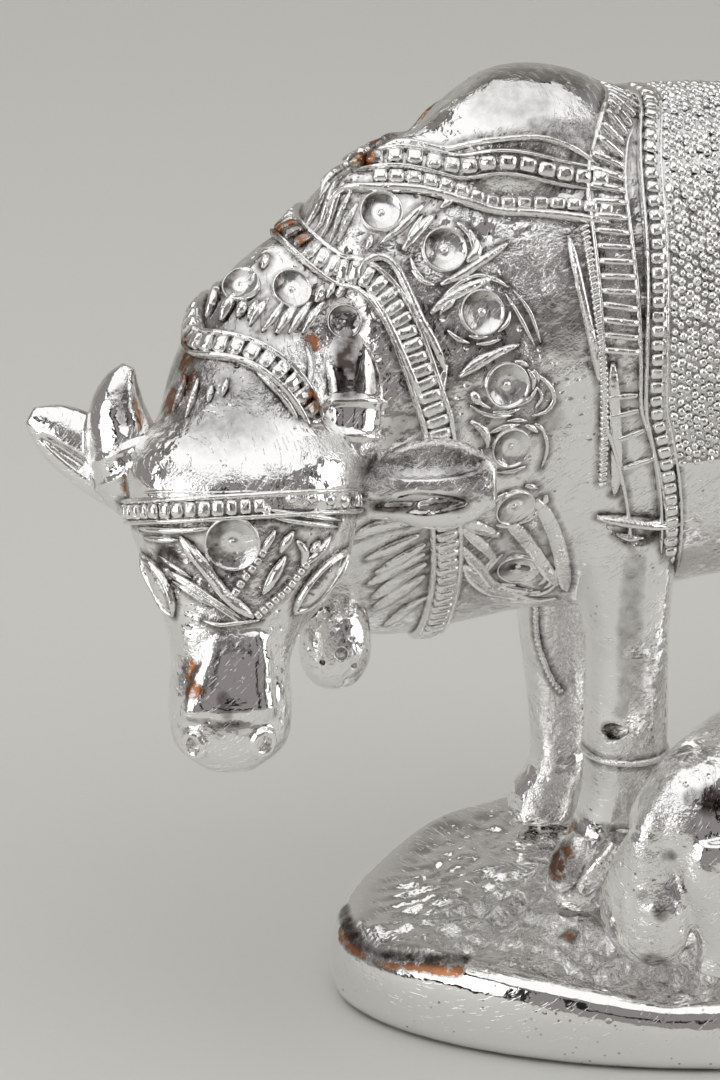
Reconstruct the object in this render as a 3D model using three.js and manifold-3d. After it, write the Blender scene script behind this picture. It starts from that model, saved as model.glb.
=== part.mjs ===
// A silver-plated cast figure of a humped cow in festival dress, with her calf suckling beside her,
// both standing on an oval plinth. Millimetres, +Z up. The cow faces -X, her near side is -Y.
// The origin is the middle of the plinth's underside.
import * as THREE from "three";
import { mergeVertices } from "three/addons/utils/BufferGeometryUtils.js";
import Module from "manifold-3d";

const wasm = await Module();
wasm.setup();

// Driving dimensions
const PLINTH_HALF_LENGTH = 57;
const PLINTH_HALF_WIDTH = 34.5;
const GROUND_Z = 11.5;
const COW_SHIFT_Y = 4.5; // the cow stands behind the plinth's middle, to leave room for the calf
const LEG_HALF_SPACING = 10.6;
const PIECE_GAP = 0.3; // between the plinth and the feet that stand on it
const CUP_RADIUS = 2.5;
const NAPE_CUP_RADIUS = 2.2;
const STRAP_LIFT = 0.7;
const SUNK = 1.2; // how deep applied ornament reaches into the body
const BEVEL = 0.3; // along a strap's upper edges

const silver = () =>
  new THREE.MeshStandardMaterial({ color: 0xd9d9d6, roughness: 0.22, metalness: 1 });

// Solids

function solidOf(geometry) {
  const bare = new THREE.BufferGeometry();
  bare.setAttribute("position", geometry.getAttribute("position"));
  if (geometry.index) bare.setIndex(geometry.index);
  const merged = mergeVertices(bare, 1e-4);
  const mesh = new wasm.Mesh({
    numProp: 3,
    vertProperties: new Float32Array(merged.attributes.position.array),
    triVerts: new Uint32Array(merged.index.array),
  });
  return new wasm.Manifold(mesh);
}

function geometryOf(manifold) {
  const mesh = manifold.getMesh();
  const geometry = new THREE.BufferGeometry();
  geometry.setAttribute("position", new THREE.BufferAttribute(mesh.vertProperties, mesh.numProp));
  geometry.setIndex(new THREE.BufferAttribute(mesh.triVerts, 1));
  return geometry;
}

function join(solids) {
  return solids.reduce((all, one) => all.add(one));
}

// Rows of points closed into one skin, with a pole at each end.
function skinOf(rings, firstPole, lastPole) {
  const sides = rings[0].length;
  const points = [...rings.flat(), firstPole, lastPole];
  const index = [];
  for (let row = 0; row + 1 < rings.length; row++) {
    for (let i = 0; i < sides; i++) {
      const a = row * sides + i;
      const b = row * sides + ((i + 1) % sides);
      index.push(a, b, a + sides, b, b + sides, a + sides);
    }
  }
  const first = points.length - 2;
  const last = points.length - 1;
  const lastRow = (rings.length - 1) * sides;
  for (let i = 0; i < sides; i++) {
    const next = (i + 1) % sides;
    index.push(first, next, i);
    index.push(last, lastRow + i, lastRow + next);
  }
  return closedGeometry(points, index);
}

// A tube whose last ring meets its first.
function hoopOf(rings) {
  const sides = rings[0].length;
  const index = [];
  for (let row = 0; row < rings.length; row++) {
    for (let i = 0; i < sides; i++) {
      const next = ((row + 1) % rings.length) * sides;
      const a = row * sides + i;
      const b = row * sides + ((i + 1) % sides);
      index.push(a, b, next + i, b, next + ((i + 1) % sides), next + i);
    }
  }
  return closedGeometry(rings.flat(), index);
}

function closedGeometry(points, index) {
  const geometry = new THREE.BufferGeometry().setFromPoints(points);
  geometry.setIndex(index);
  let volume = 0;
  for (let i = 0; i < index.length; i += 3) {
    const [a, b, c] = [points[index[i]], points[index[i + 1]], points[index[i + 2]]];
    volume += a.dot(new THREE.Vector3().crossVectors(b, c));
  }
  if (volume < 0) {
    geometry.setIndex(index.map((_, i) => index[i % 3 === 0 ? i : i % 3 === 1 ? i + 1 : i - 1]));
  }
  return geometry;
}

// A smooth curve through evenly numbered values
function between(values, t) {
  const last = values.length - 1;
  const i = Math.min(Math.floor(t), last - 1);
  const f = t - i;
  const [p0, p1, p2, p3] = [i - 1, i, i + 1, i + 2].map((k) => values[Math.max(0, Math.min(last, k))]);
  const slope1 = (p2 - p0) / 2;
  const slope2 = (p3 - p1) / 2;
  const rise = p2 - p1;
  return p1 + f * (slope1 + f * (3 * rise - 2 * slope1 - slope2 + f * (slope1 + slope2 - 2 * rise)));
}

// A rounded form lofted through stations along a spine. Each station has its middle, its half width, and
// how far it reaches up and down from the middle. `top` is the side that counts as up. `peak` above 0
// narrows the section towards its top and `keel` towards its bottom; `square` above 2 makes it boxier.
// Sections stand square to the spine, or to `along` where that is given.
function loft(stations, { top = [0, 0, 1], sides = 16, square = 2, peak = 0, keel = 0, along = null } = {}) {
  const reference = new THREE.Vector3(...top);
  const curve = (pick) => (t) => between(stations.map(pick), t);
  const spine = [0, 1, 2].map((axis) => curve((s) => s.at[axis]));
  const [wide, up, down] = ["wide", "up", "down"].map((key) => curve((s) => s[key] ?? s.up ?? s.wide));
  const middle = (t) => new THREE.Vector3(...spine.map((value) => value(t)));
  const last = stations.length - 1;
  const tangentAt = (t) => middle(Math.min(t + 0.2, last)).sub(middle(Math.max(t - 0.2, 0))).normalize();
  const rings = [];
  for (let t = 0; t <= last; t++) {
    const tangent = along ? new THREE.Vector3(...along) : tangentAt(t);
    const side = new THREE.Vector3().crossVectors(tangent, reference).normalize();
    const upward = new THREE.Vector3().crossVectors(side, tangent);
    const ring = [];
    for (let i = 0; i < sides; i++) {
      const angle = (2 * Math.PI * i) / sides;
      const power = 2 / square;
      const c = Math.sign(Math.cos(angle)) * Math.abs(Math.cos(angle)) ** power;
      const s = Math.sign(Math.sin(angle)) * Math.abs(Math.sin(angle)) ** power;
      const narrowing = s > 0 ? 1 - peak * s * s : 1 - keel * s * s;
      const reach = s > 0 ? up(t) : down(t);
      ring.push(middle(t).addScaledVector(side, wide(t) * c * narrowing).addScaledVector(upward, reach * s));
    }
    rings.push(ring);
  }
  return solidOf(skinOf(rings, middle(0), middle(last)));
}

// Casting rays from inside a body finds its surface, so that ornament follows it.
function surfaceOf(manifold, axisAt) {
  const mesh = new THREE.Mesh(geometryOf(manifold), new THREE.MeshBasicMaterial({ side: THREE.DoubleSide }));
  const caster = new THREE.Raycaster();
  const hit = (along, angle) => {
    const { from, outward } = axisAt(along, angle);
    caster.set(from, outward);
    const hits = caster.intersectObject(mesh);
    return hits[0].point;
  };
  const reach = 1.2;
  const turn = 0.08;
  return (along, angle) => {
    const point = hit(along, angle);
    const lengthwise = hit(along + reach, angle).sub(hit(along - reach, angle));
    const crosswise = hit(along, angle + turn).sub(hit(along, angle - turn));
    const normal = new THREE.Vector3().crossVectors(lengthwise, crosswise).normalize();
    const { outward } = axisAt(along, angle);
    if (normal.dot(outward) < 0) normal.negate();
    return { point, normal };
  };
}

// A raised strap along a path of [along, angle] places on a surface
function strap(surface, path, { width = 3, lift = STRAP_LIFT, closed = false } = {}) {
  const places = path.map(([along, angle]) => surface(along, angle));
  const rings = places.map(({ point, normal }, i) => {
    const last = places.length - 1;
    const before = places[closed ? (i + last) % places.length : Math.max(0, i - 1)].point;
    const after = places[closed ? (i + 1) % places.length : Math.min(last, i + 1)].point;
    const forward = after.clone().sub(before).normalize();
    const across = new THREE.Vector3().crossVectors(forward, normal).normalize();
    const half = width / 2;
    const corner = (x, y) => point.clone().addScaledVector(across, x).addScaledVector(normal, y);
    return [
      corner(-half, -SUNK),
      corner(half, -SUNK),
      corner(half - BEVEL, lift),
      corner(BEVEL - half, lift),
    ];
  });
  if (closed) return solidOf(hoopOf(rings));
  const centre = (ring) => ring.reduce((sum, p) => sum.add(p), new THREE.Vector3()).divideScalar(ring.length);
  return solidOf(skinOf(rings, centre(rings[0]), centre(rings.at(-1))));
}

// Evenly spaced steps from one value to another
function range(from, to, count) {
  return Array.from({ length: count }, (_, i) => from + ((to - from) * i) / (count - 1));
}

// A closed path round a body whose place along it follows the angle
function roundPath(count, alongAt) {
  return Array.from({ length: count }, (_, i) => {
    const angle = (2 * Math.PI * i) / count;
    return [alongAt(angle), angle];
  });
}

// A round dished socket with a thin rim
function cup({ point, normal }, radius = CUP_RADIUS) {
  const rim = 0.4;
  const profile = [
    [0, -SUNK],
    [radius, -SUNK],
    [radius, 0.75],
    [radius - rim, 0.85],
    [0, 0.1],
  ];
  return turned(profile, point, normal, 8);
}

// A plain low boss, as the plainer far side has in place of the cups
function boss({ point, normal }) {
  const profile = [
    [0, -SUNK],
    [CUP_RADIUS, -SUNK],
    [CUP_RADIUS, 0.3],
    [0, 0.9],
  ];
  return turned(profile, point, normal, 6);
}

function turned(profile, point, normal, sides) {
  const outline = profile.map(([x, y]) => new THREE.Vector2(x, y));
  const geometry = new THREE.LatheGeometry(outline, sides);
  const turn = new THREE.Quaternion().setFromUnitVectors(new THREE.Vector3(0, 1, 0), normal);
  geometry.applyQuaternion(turn).translate(point.x, point.y, point.z);
  return solidOf(geometry);
}

const degrees = (angle) => (angle * Math.PI) / 180;

// Trunk: barrel, neck, hump and dewlap. All of the cow is modelled with her middle plane at y = 0.

const barrelStations = [
  { x: -45, wide: 6, top: 89, bottom: 56 },
  { x: -41, wide: 13, top: 99, bottom: 48 },
  { x: -34, wide: 16.5, top: 103.2, bottom: 45 },
  { x: -24, wide: 18.2, top: 104, bottom: 45.8 },
  { x: -10, wide: 18.5, top: 103, bottom: 47 },
  { x: 8, wide: 19, top: 102, bottom: 46 },
  { x: 22, wide: 18.5, top: 102.5, bottom: 48 },
  { x: 34, wide: 17, top: 102, bottom: 53 },
  { x: 42, wide: 13, top: 98, bottom: 60 },
  { x: 47, wide: 7.5, top: 91, bottom: 70 },
  { x: 48.5, wide: 2.5, top: 84, bottom: 77 },
].map(({ x, wide, top, bottom }) => ({
  at: [x, 0, (top + bottom) / 2],
  wide,
  up: (top - bottom) / 2,
  down: (top - bottom) / 2,
}));

const neckStations = [
  { at: [-30, 0, 73], wide: 16, up: 29, down: 28 },
  { at: [-42, -0.5, 72.5], wide: 16.5, up: 30.5, down: 28.5 },
  { at: [-51, -1.5, 72], wide: 15.5, up: 29, down: 28 },
  { at: [-60, -3, 72.5], wide: 13.5, up: 25.2, down: 24 },
  { at: [-65.2, -5, 73.5], wide: 11.6, up: 19.2, down: 17 },
  { at: [-68.2, -7.2, 73], wide: 9.8, up: 14, down: 10 },
  { at: [-70.2, -9.8, 71.5], wide: 7, up: 9.5, down: 6 },
  { at: [-71.8, -13.4, 70], wide: 2.6, up: 3.5, down: 3 },
];

const humpStations = [
  { at: [-45.5, 0, 98.5], wide: 3, up: 3.5, down: 5 },
  { at: [-42, 0, 99], wide: 7, up: 6.4, down: 5 },
  { at: [-37.5, 0, 99], wide: 9.5, up: 9.2, down: 5 },
  { at: [-32, 0, 99], wide: 10, up: 9.6, down: 5 },
  { at: [-27.5, 0, 99], wide: 8.5, up: 8.1, down: 5 },
  { at: [-24.5, 0, 98], wide: 4, up: 4.5, down: 4 },
];

const barrel = loft(barrelStations, { sides: 18, square: 2.15, peak: 0.12 });
const neck = loft(neckStations, { sides: 18, peak: 0.35, keel: 0.45 });
const hump = loft(humpStations, { sides: 12 });
const trunk = join([barrel, neck, hump]);

// The trunk's axis bends to the near side with the neck.
function trunkAxis(x, angle) {
  const bend = Math.max(0, (-45 - x) / 30);
  return {
    from: new THREE.Vector3(x, -9 * bend * bend, 74),
    outward: new THREE.Vector3(0, -Math.cos(angle), Math.sin(angle)),
  };
}
const onTrunk = surfaceOf(trunk, trunkAxis);

// Legs. A hoof is wider than the pastern and flat below.

function leg(stations, y) {
  const placed = stations.map(({ x, z, fore, aft, wide, out = 0 }) => ({
    at: [x, Math.sign(y) * (Math.abs(y) + out), z],
    wide,
    up: fore,
    down: aft,
  }));
  return loft(placed, { top: [-1, 0, 0], along: [0, 0, 1], sides: 8, square: 2.3 });
}

const standZ = GROUND_Z + PIECE_GAP;
const nearForeleg = [
  { x: -28.2, z: standZ, fore: 4.4, aft: 3.8, wide: 4.2 },
  { x: -27.8, z: 15.5, fore: 4.2, aft: 4, wide: 4.1 },
  { x: -25.8, z: 19, fore: 4, aft: 4.3, wide: 4.1 },
  { x: -24.9, z: 25, fore: 4.3, aft: 4.4, wide: 4.3 },
  { x: -24.4, z: 31, fore: 4.7, aft: 4.7, wide: 4.7 },
  { x: -24.4, z: 42, fore: 4.6, aft: 4.7, wide: 4.6 },
  { x: -24.8, z: 50, fore: 5.4, aft: 5.4, wide: 5 },
  { x: -26, z: 62, fore: 8, aft: 8, wide: 5.5 },
];
const farForeleg = [
  { x: -26, z: standZ, fore: 4.2, aft: 3.6, wide: 3.8 },
  { x: -25.6, z: 15.5, fore: 4.1, aft: 3.6, wide: 3.7 },
  { x: -24, z: 19, fore: 3.4, aft: 3.6, wide: 3.4 },
  { x: -24, z: 25, fore: 3.5, aft: 3.6, wide: 3.5 },
  { x: -24.4, z: 33, fore: 4.1, aft: 4, wide: 4 },
  { x: -25, z: 42, fore: 4.6, aft: 4.4, wide: 4.4 },
  { x: -25.6, z: 50, fore: 5.4, aft: 5.2, wide: 4.8 },
  { x: -26, z: 62, fore: 7, aft: 7, wide: 5 },
];
const hindleg = (lean) => [
  { x: 34 + lean, z: standZ, fore: 4.6, aft: 3.8, wide: 4 },
  { x: 34.5 + lean, z: 15.5, fore: 4.3, aft: 4, wide: 3.9 },
  { x: 36.5 + lean, z: 19.5, fore: 3.8, aft: 3.6, wide: 3.5 },
  { x: 38 + lean, z: 26, fore: 3.8, aft: 3.8, wide: 3.6 },
  { x: 39.5 + lean * 0.7, z: 33, fore: 4.8, aft: 4.6, wide: 4.1 },
  { x: 38 + lean * 0.5, z: 39, fore: 6, aft: 5, wide: 4.6 },
  { x: 35, z: 47, fore: 9, aft: 7.5, wide: 5.8 },
  { x: 33.5, z: 57, fore: 12, aft: 11, wide: 7 },
  { x: 33, z: 66, fore: 12, aft: 11.5, wide: 7, out: -1 },
  { x: 33, z: 76, fore: 8, aft: 8, wide: 4, out: -3 },
];
const legs = [
  leg(nearForeleg, -LEG_HALF_SPACING),
  leg(farForeleg, LEG_HALF_SPACING + 1.6),
  leg(hindleg(2), -LEG_HALF_SPACING),
  leg(hindleg(-2), LEG_HALF_SPACING),
];

// Tail, down the middle of the rump and then along the near hind leg, and udder

const tail = loft(
  [
    { at: [38, 0, 97], wide: 3.4 },
    { at: [43.5, 0, 95.5], wide: 3 },
    { at: [47.6, 0, 90.5], wide: 2.4 },
    { at: [49.2, -0.6, 82], wide: 2 },
    { at: [48.4, -2.4, 72], wide: 1.8 },
    { at: [46.4, -5.2, 62], wide: 1.8 },
    { at: [45, -8, 52], wide: 2 },
    { at: [44.5, -9.6, 44], wide: 2.7 },
    { at: [44.8, -10.2, 36], wide: 3 },
    { at: [44.4, -10.4, 29], wide: 1.9 },
    { at: [43.8, -10.4, 26], wide: 0.8 },
  ],
  { top: [0, 1, 0], sides: 6 },
);

const udder = loft(
  [
    { at: [16, 0, 47], wide: 4, up: 3 },
    { at: [20, 0, 45], wide: 7.5, up: 4.5 },
    { at: [25, 0, 44.5], wide: 8.5, up: 6 },
    { at: [29, 0, 46], wide: 5, up: 4 },
  ],
  { sides: 8 },
);
function teat(aft, side) {
  const [fromX, halfSpacingX, halfSpacingY, middleZ] = [24, 2.6, 3.6, 38.8];
  const cone = new THREE.CylinderGeometry(1.3, 0.9, 5, 5).rotateX(Math.PI / 2);
  return solidOf(cone.translate(fromX + aft * halfSpacingX, side * halfSpacingY, middleZ));
}
const teats = [teat(-1, -1), teat(-1, 1), teat(1, -1), teat(1, 1)];

// Head, in its own frame: the crown is up, the face looks along -y, and the muzzle points down

const headPlace = new THREE.Object3D();
headPlace.position.set(-69.8, -7.5 - COW_SHIFT_Y, 75.2);
headPlace.rotation.set(degrees(-21), degrees(-2), degrees(-19), "ZYX");
headPlace.updateMatrix();

const skull = loft(
  [
    { at: [0, 1, 1.6], wide: 4, up: 2.5, down: 4 },
    { at: [0, 0.5, -0.2], wide: 9, up: 5.5, down: 7 },
    { at: [0, 0, -4], wide: 11.8, up: 9, down: 8.5 },
    { at: [-0.1, 0, -8], wide: 12.3, up: 10.4, down: 9 },
    { at: [-0.3, 0, -12.5], wide: 11.9, up: 10, down: 9 },
    { at: [-0.8, -0.5, -16.5], wide: 10.3, up: 8.8, down: 8.5 },
    { at: [-1.4, -1, -20.5], wide: 7.9, up: 7.6, down: 7 },
    { at: [-1.8, -1.5, -25], wide: 6.4, up: 6.6, down: 5.5 },
    { at: [-2, -1.5, -30], wide: 6.7, up: 6.6, down: 5.2 },
    { at: [-2, -1.3, -34.2], wide: 5.9, up: 5.8, down: 4.6 },
    { at: [-2, -1, -37], wide: 2.4, up: 2.2, down: 2 },
  ],
  { top: [0, -1, 0], sides: 18, square: 2.4 },
);

const leftHorn = loft(
  [
    { at: [-10.9, 1.8, -7], wide: 3.8 },
    { at: [-12.5, 1.3, -3], wide: 4.2 },
    { at: [-13.4, 0.9, 1], wide: 3.6 },
    { at: [-13.1, 0.5, 4.2], wide: 2.4 },
    { at: [-12, 0.2, 6.7], wide: 0.8 },
  ],
  { top: [0, -1, 0], sides: 9 },
);
const rightHorn = loft(
  [
    { at: [10, 2.2, -5.5], wide: 4 },
    { at: [11.1, 2.1, -0.5], wide: 4.3 },
    { at: [11.3, 2.8, 4.8], wide: 4.5 },
    { at: [11.1, 3.6, 8.6], wide: 3.7 },
    { at: [10.9, 4.3, 11], wide: 1.3 },
  ],
  { top: [0, -1, 0], sides: 9 },
);

// Leaf-shaped ears, each with a slit along its lower half. The far one is cocked up.
function ear(stations, slitStations) {
  const blade = loft(stations, { sides: 10 });
  const slit = loft(slitStations, { sides: 6 });
  return blade.subtract(slit);
}
const leftEar = ear(
  [
    { at: [-10, 3, -7.6], wide: 2.2, up: 2.8 },
    { at: [-13.5, 3, -5.2], wide: 2.2, up: 3.6 },
    { at: [-17, 2.8, -2.3], wide: 2.2, up: 3.8 },
    { at: [-20.5, 2.6, 0.1], wide: 1.8, up: 3 },
    { at: [-23.2, 2.4, 1.6], wide: 0.8, up: 1.1 },
  ],
  [
    { at: [-14, 0.6, -6.8], wide: 0.9, up: 0.5 },
    { at: [-18, 0.6, -3.5], wide: 1.2, up: 0.9 },
    { at: [-22, 0.8, -0.6], wide: 0.7, up: 0.4 },
  ],
);
const rightEar = ear(
  [
    { at: [10, 2.5, -8], wide: 2.2, up: 2.6 },
    { at: [14.8, 2.2, -7.2], wide: 2.3, up: 3.5 },
    { at: [19.2, 1.8, -6.8], wide: 2.4, up: 4.9 },
    { at: [23.6, 1.4, -7], wide: 2.1, up: 4.6 },
    { at: [27.2, 1, -7.2], wide: 1, up: 2.4 },
  ],
  [
    { at: [15.5, -0.6, -9.2], wide: 1, up: 0.5 },
    { at: [20.5, -0.8, -9], wide: 1.4, up: 1 },
    { at: [25, -0.8, -8.8], wide: 0.8, up: 0.4 },
  ],
);

function headAxis(z, angle) {
  return {
    from: new THREE.Vector3(z < -12 ? Math.max(-2, 0.14 * (z + 12) - 0.3) : 0, -0.8, z),
    outward: new THREE.Vector3(Math.sin(angle), -Math.cos(angle), 0),
  };
}
const onSkull = surfaceOf(skull, headAxis);

const browBand = strap(onSkull, roundPath(14, (angle) => -8.5 + 0.4 * Math.sin(angle)), {
  width: 2.6,
  lift: 0.5,
  closed: true,
});
const browCup = cup(onSkull(-12.5, degrees(-3)), 3);
const cheekStraps = [-1, 1].map((side) =>
  strap(onSkull, range(0, 1, 7).map((t) => [-10.8 - 10 * t, degrees(19 * t + side * (56 - 54 * t))]), {
    width: 1.6,
    lift: 0.6,
  }),
);

// An almond eye, its outer corner high
function eye(side) {
  const { point, normal } = onSkull(-16.8, degrees(side * 62 + 1));
  const lengthwise = new THREE.Vector3(side * 0.68, 0, 0.73).projectOnPlane(normal).normalize();
  const across = new THREE.Vector3().crossVectors(lengthwise, normal);
  const ball = new THREE.SphereGeometry(1, 8, 6).scale(3.7, 1, 1.4);
  ball.applyMatrix4(new THREE.Matrix4().makeBasis(lengthwise, normal, across));
  return solidOf(ball.translate(point.x, point.y, point.z));
}

function nostril(side) {
  const { point, normal } = onSkull(-34.3, side * degrees(34));
  const pit = new THREE.SphereGeometry(1.15, 8, 6).scale(1.2, 1, 0.9);
  pit.translate(point.x + normal.x * 0.2, point.y + normal.y * 0.2, point.z);
  return solidOf(pit);
}

const head = join([
  skull,
  leftHorn,
  rightHorn,
  leftEar,
  rightEar,
  eye(-1),
  eye(1),
  browBand,
  browCup,
  ...cheekStraps,
]).subtract(join([nostril(-1), nostril(1)]));

// Places on the trunk are given by x and by the angle above the horizontal on the near side.
const nearSide = (x, elevation) => [x, degrees(elevation)];
const farSide = (x, elevation) => [x, Math.PI - degrees(elevation)];

// How far a tilted collar swings forward towards its top
const swing = (angle, amount, power) => amount * Math.max(0, Math.sin(angle)) ** power;
const sag = (angle, amount) => amount * Math.min(0, Math.sin(angle)) ** 2;

const foreCollarPath = roundPath(16, (angle) => -62.3 - swing(angle, 10.2, 2.2));
const midCollarPath = roundPath(
  22,
  (angle) => -49 - swing(angle, 3.5, 1) - swing(angle, 11, 8) + sag(angle, 3.5),
);
const foreCollar = strap(onTrunk, foreCollarPath, { width: 2.8, closed: true });
const midCollar = strap(onTrunk, midCollarPath, { width: 3.4, closed: true });

// Cups lie along the shoulder and down the breast; three smaller ones stand on the nape.
const cupPlaces = [
  [-52.5, 73],
  [-46.6, 59],
  [-43.4, 40],
  [-41.2, 14],
  [-40.8, -10],
  [-39.7, -35],
  [-37.5, -62],
];
const napeCupPlaces = [
  [-67.6, 83],
  [-63.2, 66],
  [-58.4, 46],
];
const nearCups = cupPlaces.map((place) => cup(onTrunk(...nearSide(...place))));
const nearNapeCups = napeCupPlaces.map((place) => cup(onTrunk(...nearSide(...place)), NAPE_CUP_RADIUS));
const farCups = cupPlaces.map((place) => boss(onTrunk(...farSide(...place))));

const bell = loft(
  [
    { at: [-56.6, -4, 53], wide: 2.2 },
    { at: [-57.2, -6, 50.8], wide: 3.1 },
    { at: [-57.9, -7.8, 48], wide: 3.9 },
    { at: [-58.3, -8.6, 45], wide: 3.9 },
    { at: [-58.6, -8.8, 42.8], wide: 2.7 },
    { at: [-58.6, -8.8, 41.8], wide: 0.8 },
  ],
  { top: [-1, 0, 0], sides: 8 },
);

// Harness: two straps from the crest of the neck back to the girth, the girth itself with a narrow fold of
// cloth before it, and the edge strap of the saddle cloth

const shoulderStraps = [nearSide, farSide].flatMap((sideways) => [
  strap(
    onTrunk,
    range(0, 1, 7).map((t) => sideways(-51 + 22 * t, 85 - 17 * Math.min(1, 1.45 * t))),
    { width: 2.6 },
  ),
  strap(
    onTrunk,
    range(0, 1, 7).map((t) => sideways(-56 + 27 * t, 86 - 25 * t)),
    { width: 2.4 },
  ),
]);

const girthPath = roundPath(20, (angle) => -27.3 + swing(angle, 2.6, 12) + sag(angle, 3.9));
const girth = strap(onTrunk, girthPath, { width: 4, lift: 0.9, closed: true });
const clothEdgePath = roundPath(20, (angle) => -23.4 + swing(angle, 4, 12) + sag(angle, 4));
const clothEdge = strap(onTrunk, clothEdgePath, { width: 2.5, lift: 1, closed: true });
const fold = strap(
  onTrunk,
  range(0, 1, 6).map((t) => nearSide(-32.2 + 2 * t, 56 - 80 * t)),
  { width: 1.8, lift: 0.5 },
);

// The girth's end stands out as a lip over the crease of the near elbow.
const elbowLip = strap(
  onTrunk,
  range(0, 1, 5).map((t) => nearSide(-29.6 + 9.6 * t, -43 - 3 * t)),
  { width: 1, lift: 1 },
);

// Saddle cloth: a raised panel over the back, down to the middle of each flank
function saddleCloth() {
  const LIFT = 0.8;
  const FRONT_X = -20;
  const REAR_X = 31;
  const HANG = degrees(-20);
  const angles = range(HANG, Math.PI - HANG, 13);
  const rows = range(FRONT_X, REAR_X, 5).map((x) => {
    const places = angles.map((angle) => onTrunk(x, angle));
    const outer = places.map(({ point, normal }) => point.clone().addScaledVector(normal, LIFT));
    const inner = places.map(({ point, normal }) => point.clone().addScaledVector(normal, -SUNK));
    return [...outer, ...inner.reverse()];
  });
  return solidOf(panelOf(rows));
}

// A bent slab's ends are quads between its outer and inner row, not a fan.
function panelOf(rings) {
  const sides = rings[0].length;
  const index = [];
  for (let row = 0; row + 1 < rings.length; row++) {
    for (let i = 0; i < sides; i++) {
      const a = row * sides + i;
      const b = row * sides + ((i + 1) % sides);
      index.push(a, b, a + sides, b, b + sides, a + sides);
    }
  }
  const lastRow = (rings.length - 1) * sides;
  for (let i = 0; i + 1 < sides / 2; i++) {
    const [a, b, c, d] = [i, i + 1, sides - 2 - i, sides - 1 - i];
    index.push(b, a, c, a, d, c);
    index.push(lastRow + a, lastRow + b, lastRow + c, lastRow + a, lastRow + c, lastRow + d);
  }
  return closedGeometry(rings.flat(), index);
}

const cloth = saddleCloth();

// The cow
const cowSolid = join([
  trunk,
  ...legs,
  tail,
  udder,
  ...teats,
  solidOf(geometryOf(head).applyMatrix4(headPlace.matrix)),
  foreCollar,
  midCollar,
  ...nearCups,
  ...nearNapeCups,
  ...farCups,
  bell,
  ...shoulderStraps,
  girth,
  clothEdge,
  fold,
  elbowLip,
  cloth,
]);
const cow = new THREE.Mesh(geometryOf(cowSolid).translate(0, COW_SHIFT_Y, 0), silver());
cow.name = "cow";

// The calf, in its own frame: it faces +x, and its hind feet stand close to x = 0

function calfLeg(x, y, { hockBack = 0, thigh, topZ }) {
  return loft(
    [
      { at: [x + 0.6, y, standZ], wide: 2.7, up: 3.2 },
      { at: [x + 0.4, y, standZ + 3], wide: 2.6, up: 2.8 },
      { at: [x - hockBack, y, standZ + 8], wide: 2.9, up: 3.2 },
      { at: [x - hockBack * 0.3, y, standZ + 12.5], wide: thigh * 0.8, up: thigh },
      { at: [x, y, topZ], wide: thigh * 0.7, up: thigh * 0.9 },
    ],
    { top: [1, 0, 0], along: [0, 0, 1], sides: 8 },
  );
}

const calfBody = loft(
  [
    { at: [-5.6, 0, 26.4], wide: 2.2, up: 2 },
    { at: [-4.4, 0, 26.8], wide: 4.6, up: 4.6 },
    { at: [-2.2, 0, 27.4], wide: 6, up: 6.6 },
    { at: [2.2, 0, 28.2], wide: 7.2, up: 8.4, down: 7.6 },
    { at: [10, 0, 29.2], wide: 8.2, up: 9.2, down: 8 },
    { at: [18, 0, 30.4], wide: 7.6, up: 9, down: 8 },
    { at: [26, 0, 32.4], wide: 6.6, up: 8, down: 7.6 },
    { at: [30, 0, 34], wide: 3.6, up: 5, down: 5 },
  ],
  { sides: 12 },
);
const calfNeck = loft(
  [
    { at: [22, 0, 34], wide: 6, up: 6.2 },
    { at: [29, 0, 37.2], wide: 5, up: 5 },
    { at: [35, 0, 39.6], wide: 4.2, up: 4.2 },
    { at: [39, 0, 40.6], wide: 2.6, up: 2.6 },
  ],
  { sides: 9 },
);
const calfHead = loft(
  [
    { at: [35, 0, 42], wide: 2, up: 2 },
    { at: [37.5, 0, 41.4], wide: 4.1, up: 3.9 },
    { at: [41.5, 0, 40.6], wide: 4, up: 3.9 },
    { at: [45.5, 0, 39.8], wide: 2.8, up: 2.8 },
    { at: [48, 0, 39.4], wide: 2.7, up: 2.3 },
    { at: [49.3, 0, 39.2], wide: 1.3, up: 1.1 },
  ],
  { sides: 10 },
);
const calfEars = [-1, 1].map((side) =>
  loft(
    [
      { at: [37.5, side * 3, 42.6], wide: 0.9, up: 1.2 },
      { at: [36.2, side * 5.6, 42.8], wide: 0.9, up: 2 },
      { at: [35.2, side * 8, 42.2], wide: 0.5, up: 0.9 },
    ],
    { sides: 6 },
  ),
);
// The tail lies close to the rump and ends in a heavy tuft over the far hind leg.
const calfTail = loft(
  [
    { at: [-0.4, 0, 34.6], wide: 1.6 },
    { at: [-3.2, 0.2, 32.4], wide: 1.9 },
    { at: [-5.2, 0.8, 28.6], wide: 2.4 },
    { at: [-5.6, 2, 24.6], wide: 3.6, up: 2.6 },
    { at: [-5, 2.8, 20.4], wide: 5.2, up: 3.6 },
    { at: [-4.8, 2.8, 16.2], wide: 4.9, up: 3.6 },
    { at: [-4.6, 2.8, 13.4], wide: 3, up: 2.4 },
    { at: [-4.6, 2.8, 12.3], wide: 1, up: 0.9 },
  ],
  { top: [-1, 0, 0], sides: 8 },
);
const calfParts = [
  calfBody,
  calfNeck,
  calfHead,
  ...calfEars,
  calfTail,
  calfLeg(0.6, -5, { hockBack: 1.6, thigh: 5.2, topZ: 29 }),
  calfLeg(2.4, 3.8, { hockBack: 2, thigh: 4, topZ: 29 }),
  calfLeg(24, -4, { thigh: 4, topZ: 32 }),
  calfLeg(24, 4, { thigh: 4, topZ: 32 }),
];
const CALF_HEADING = degrees(30);
const calf = new THREE.Mesh(geometryOf(join(calfParts)), silver());
calf.name = "calf";
calf.position.set(-23.4, -23.4, 0);
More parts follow.
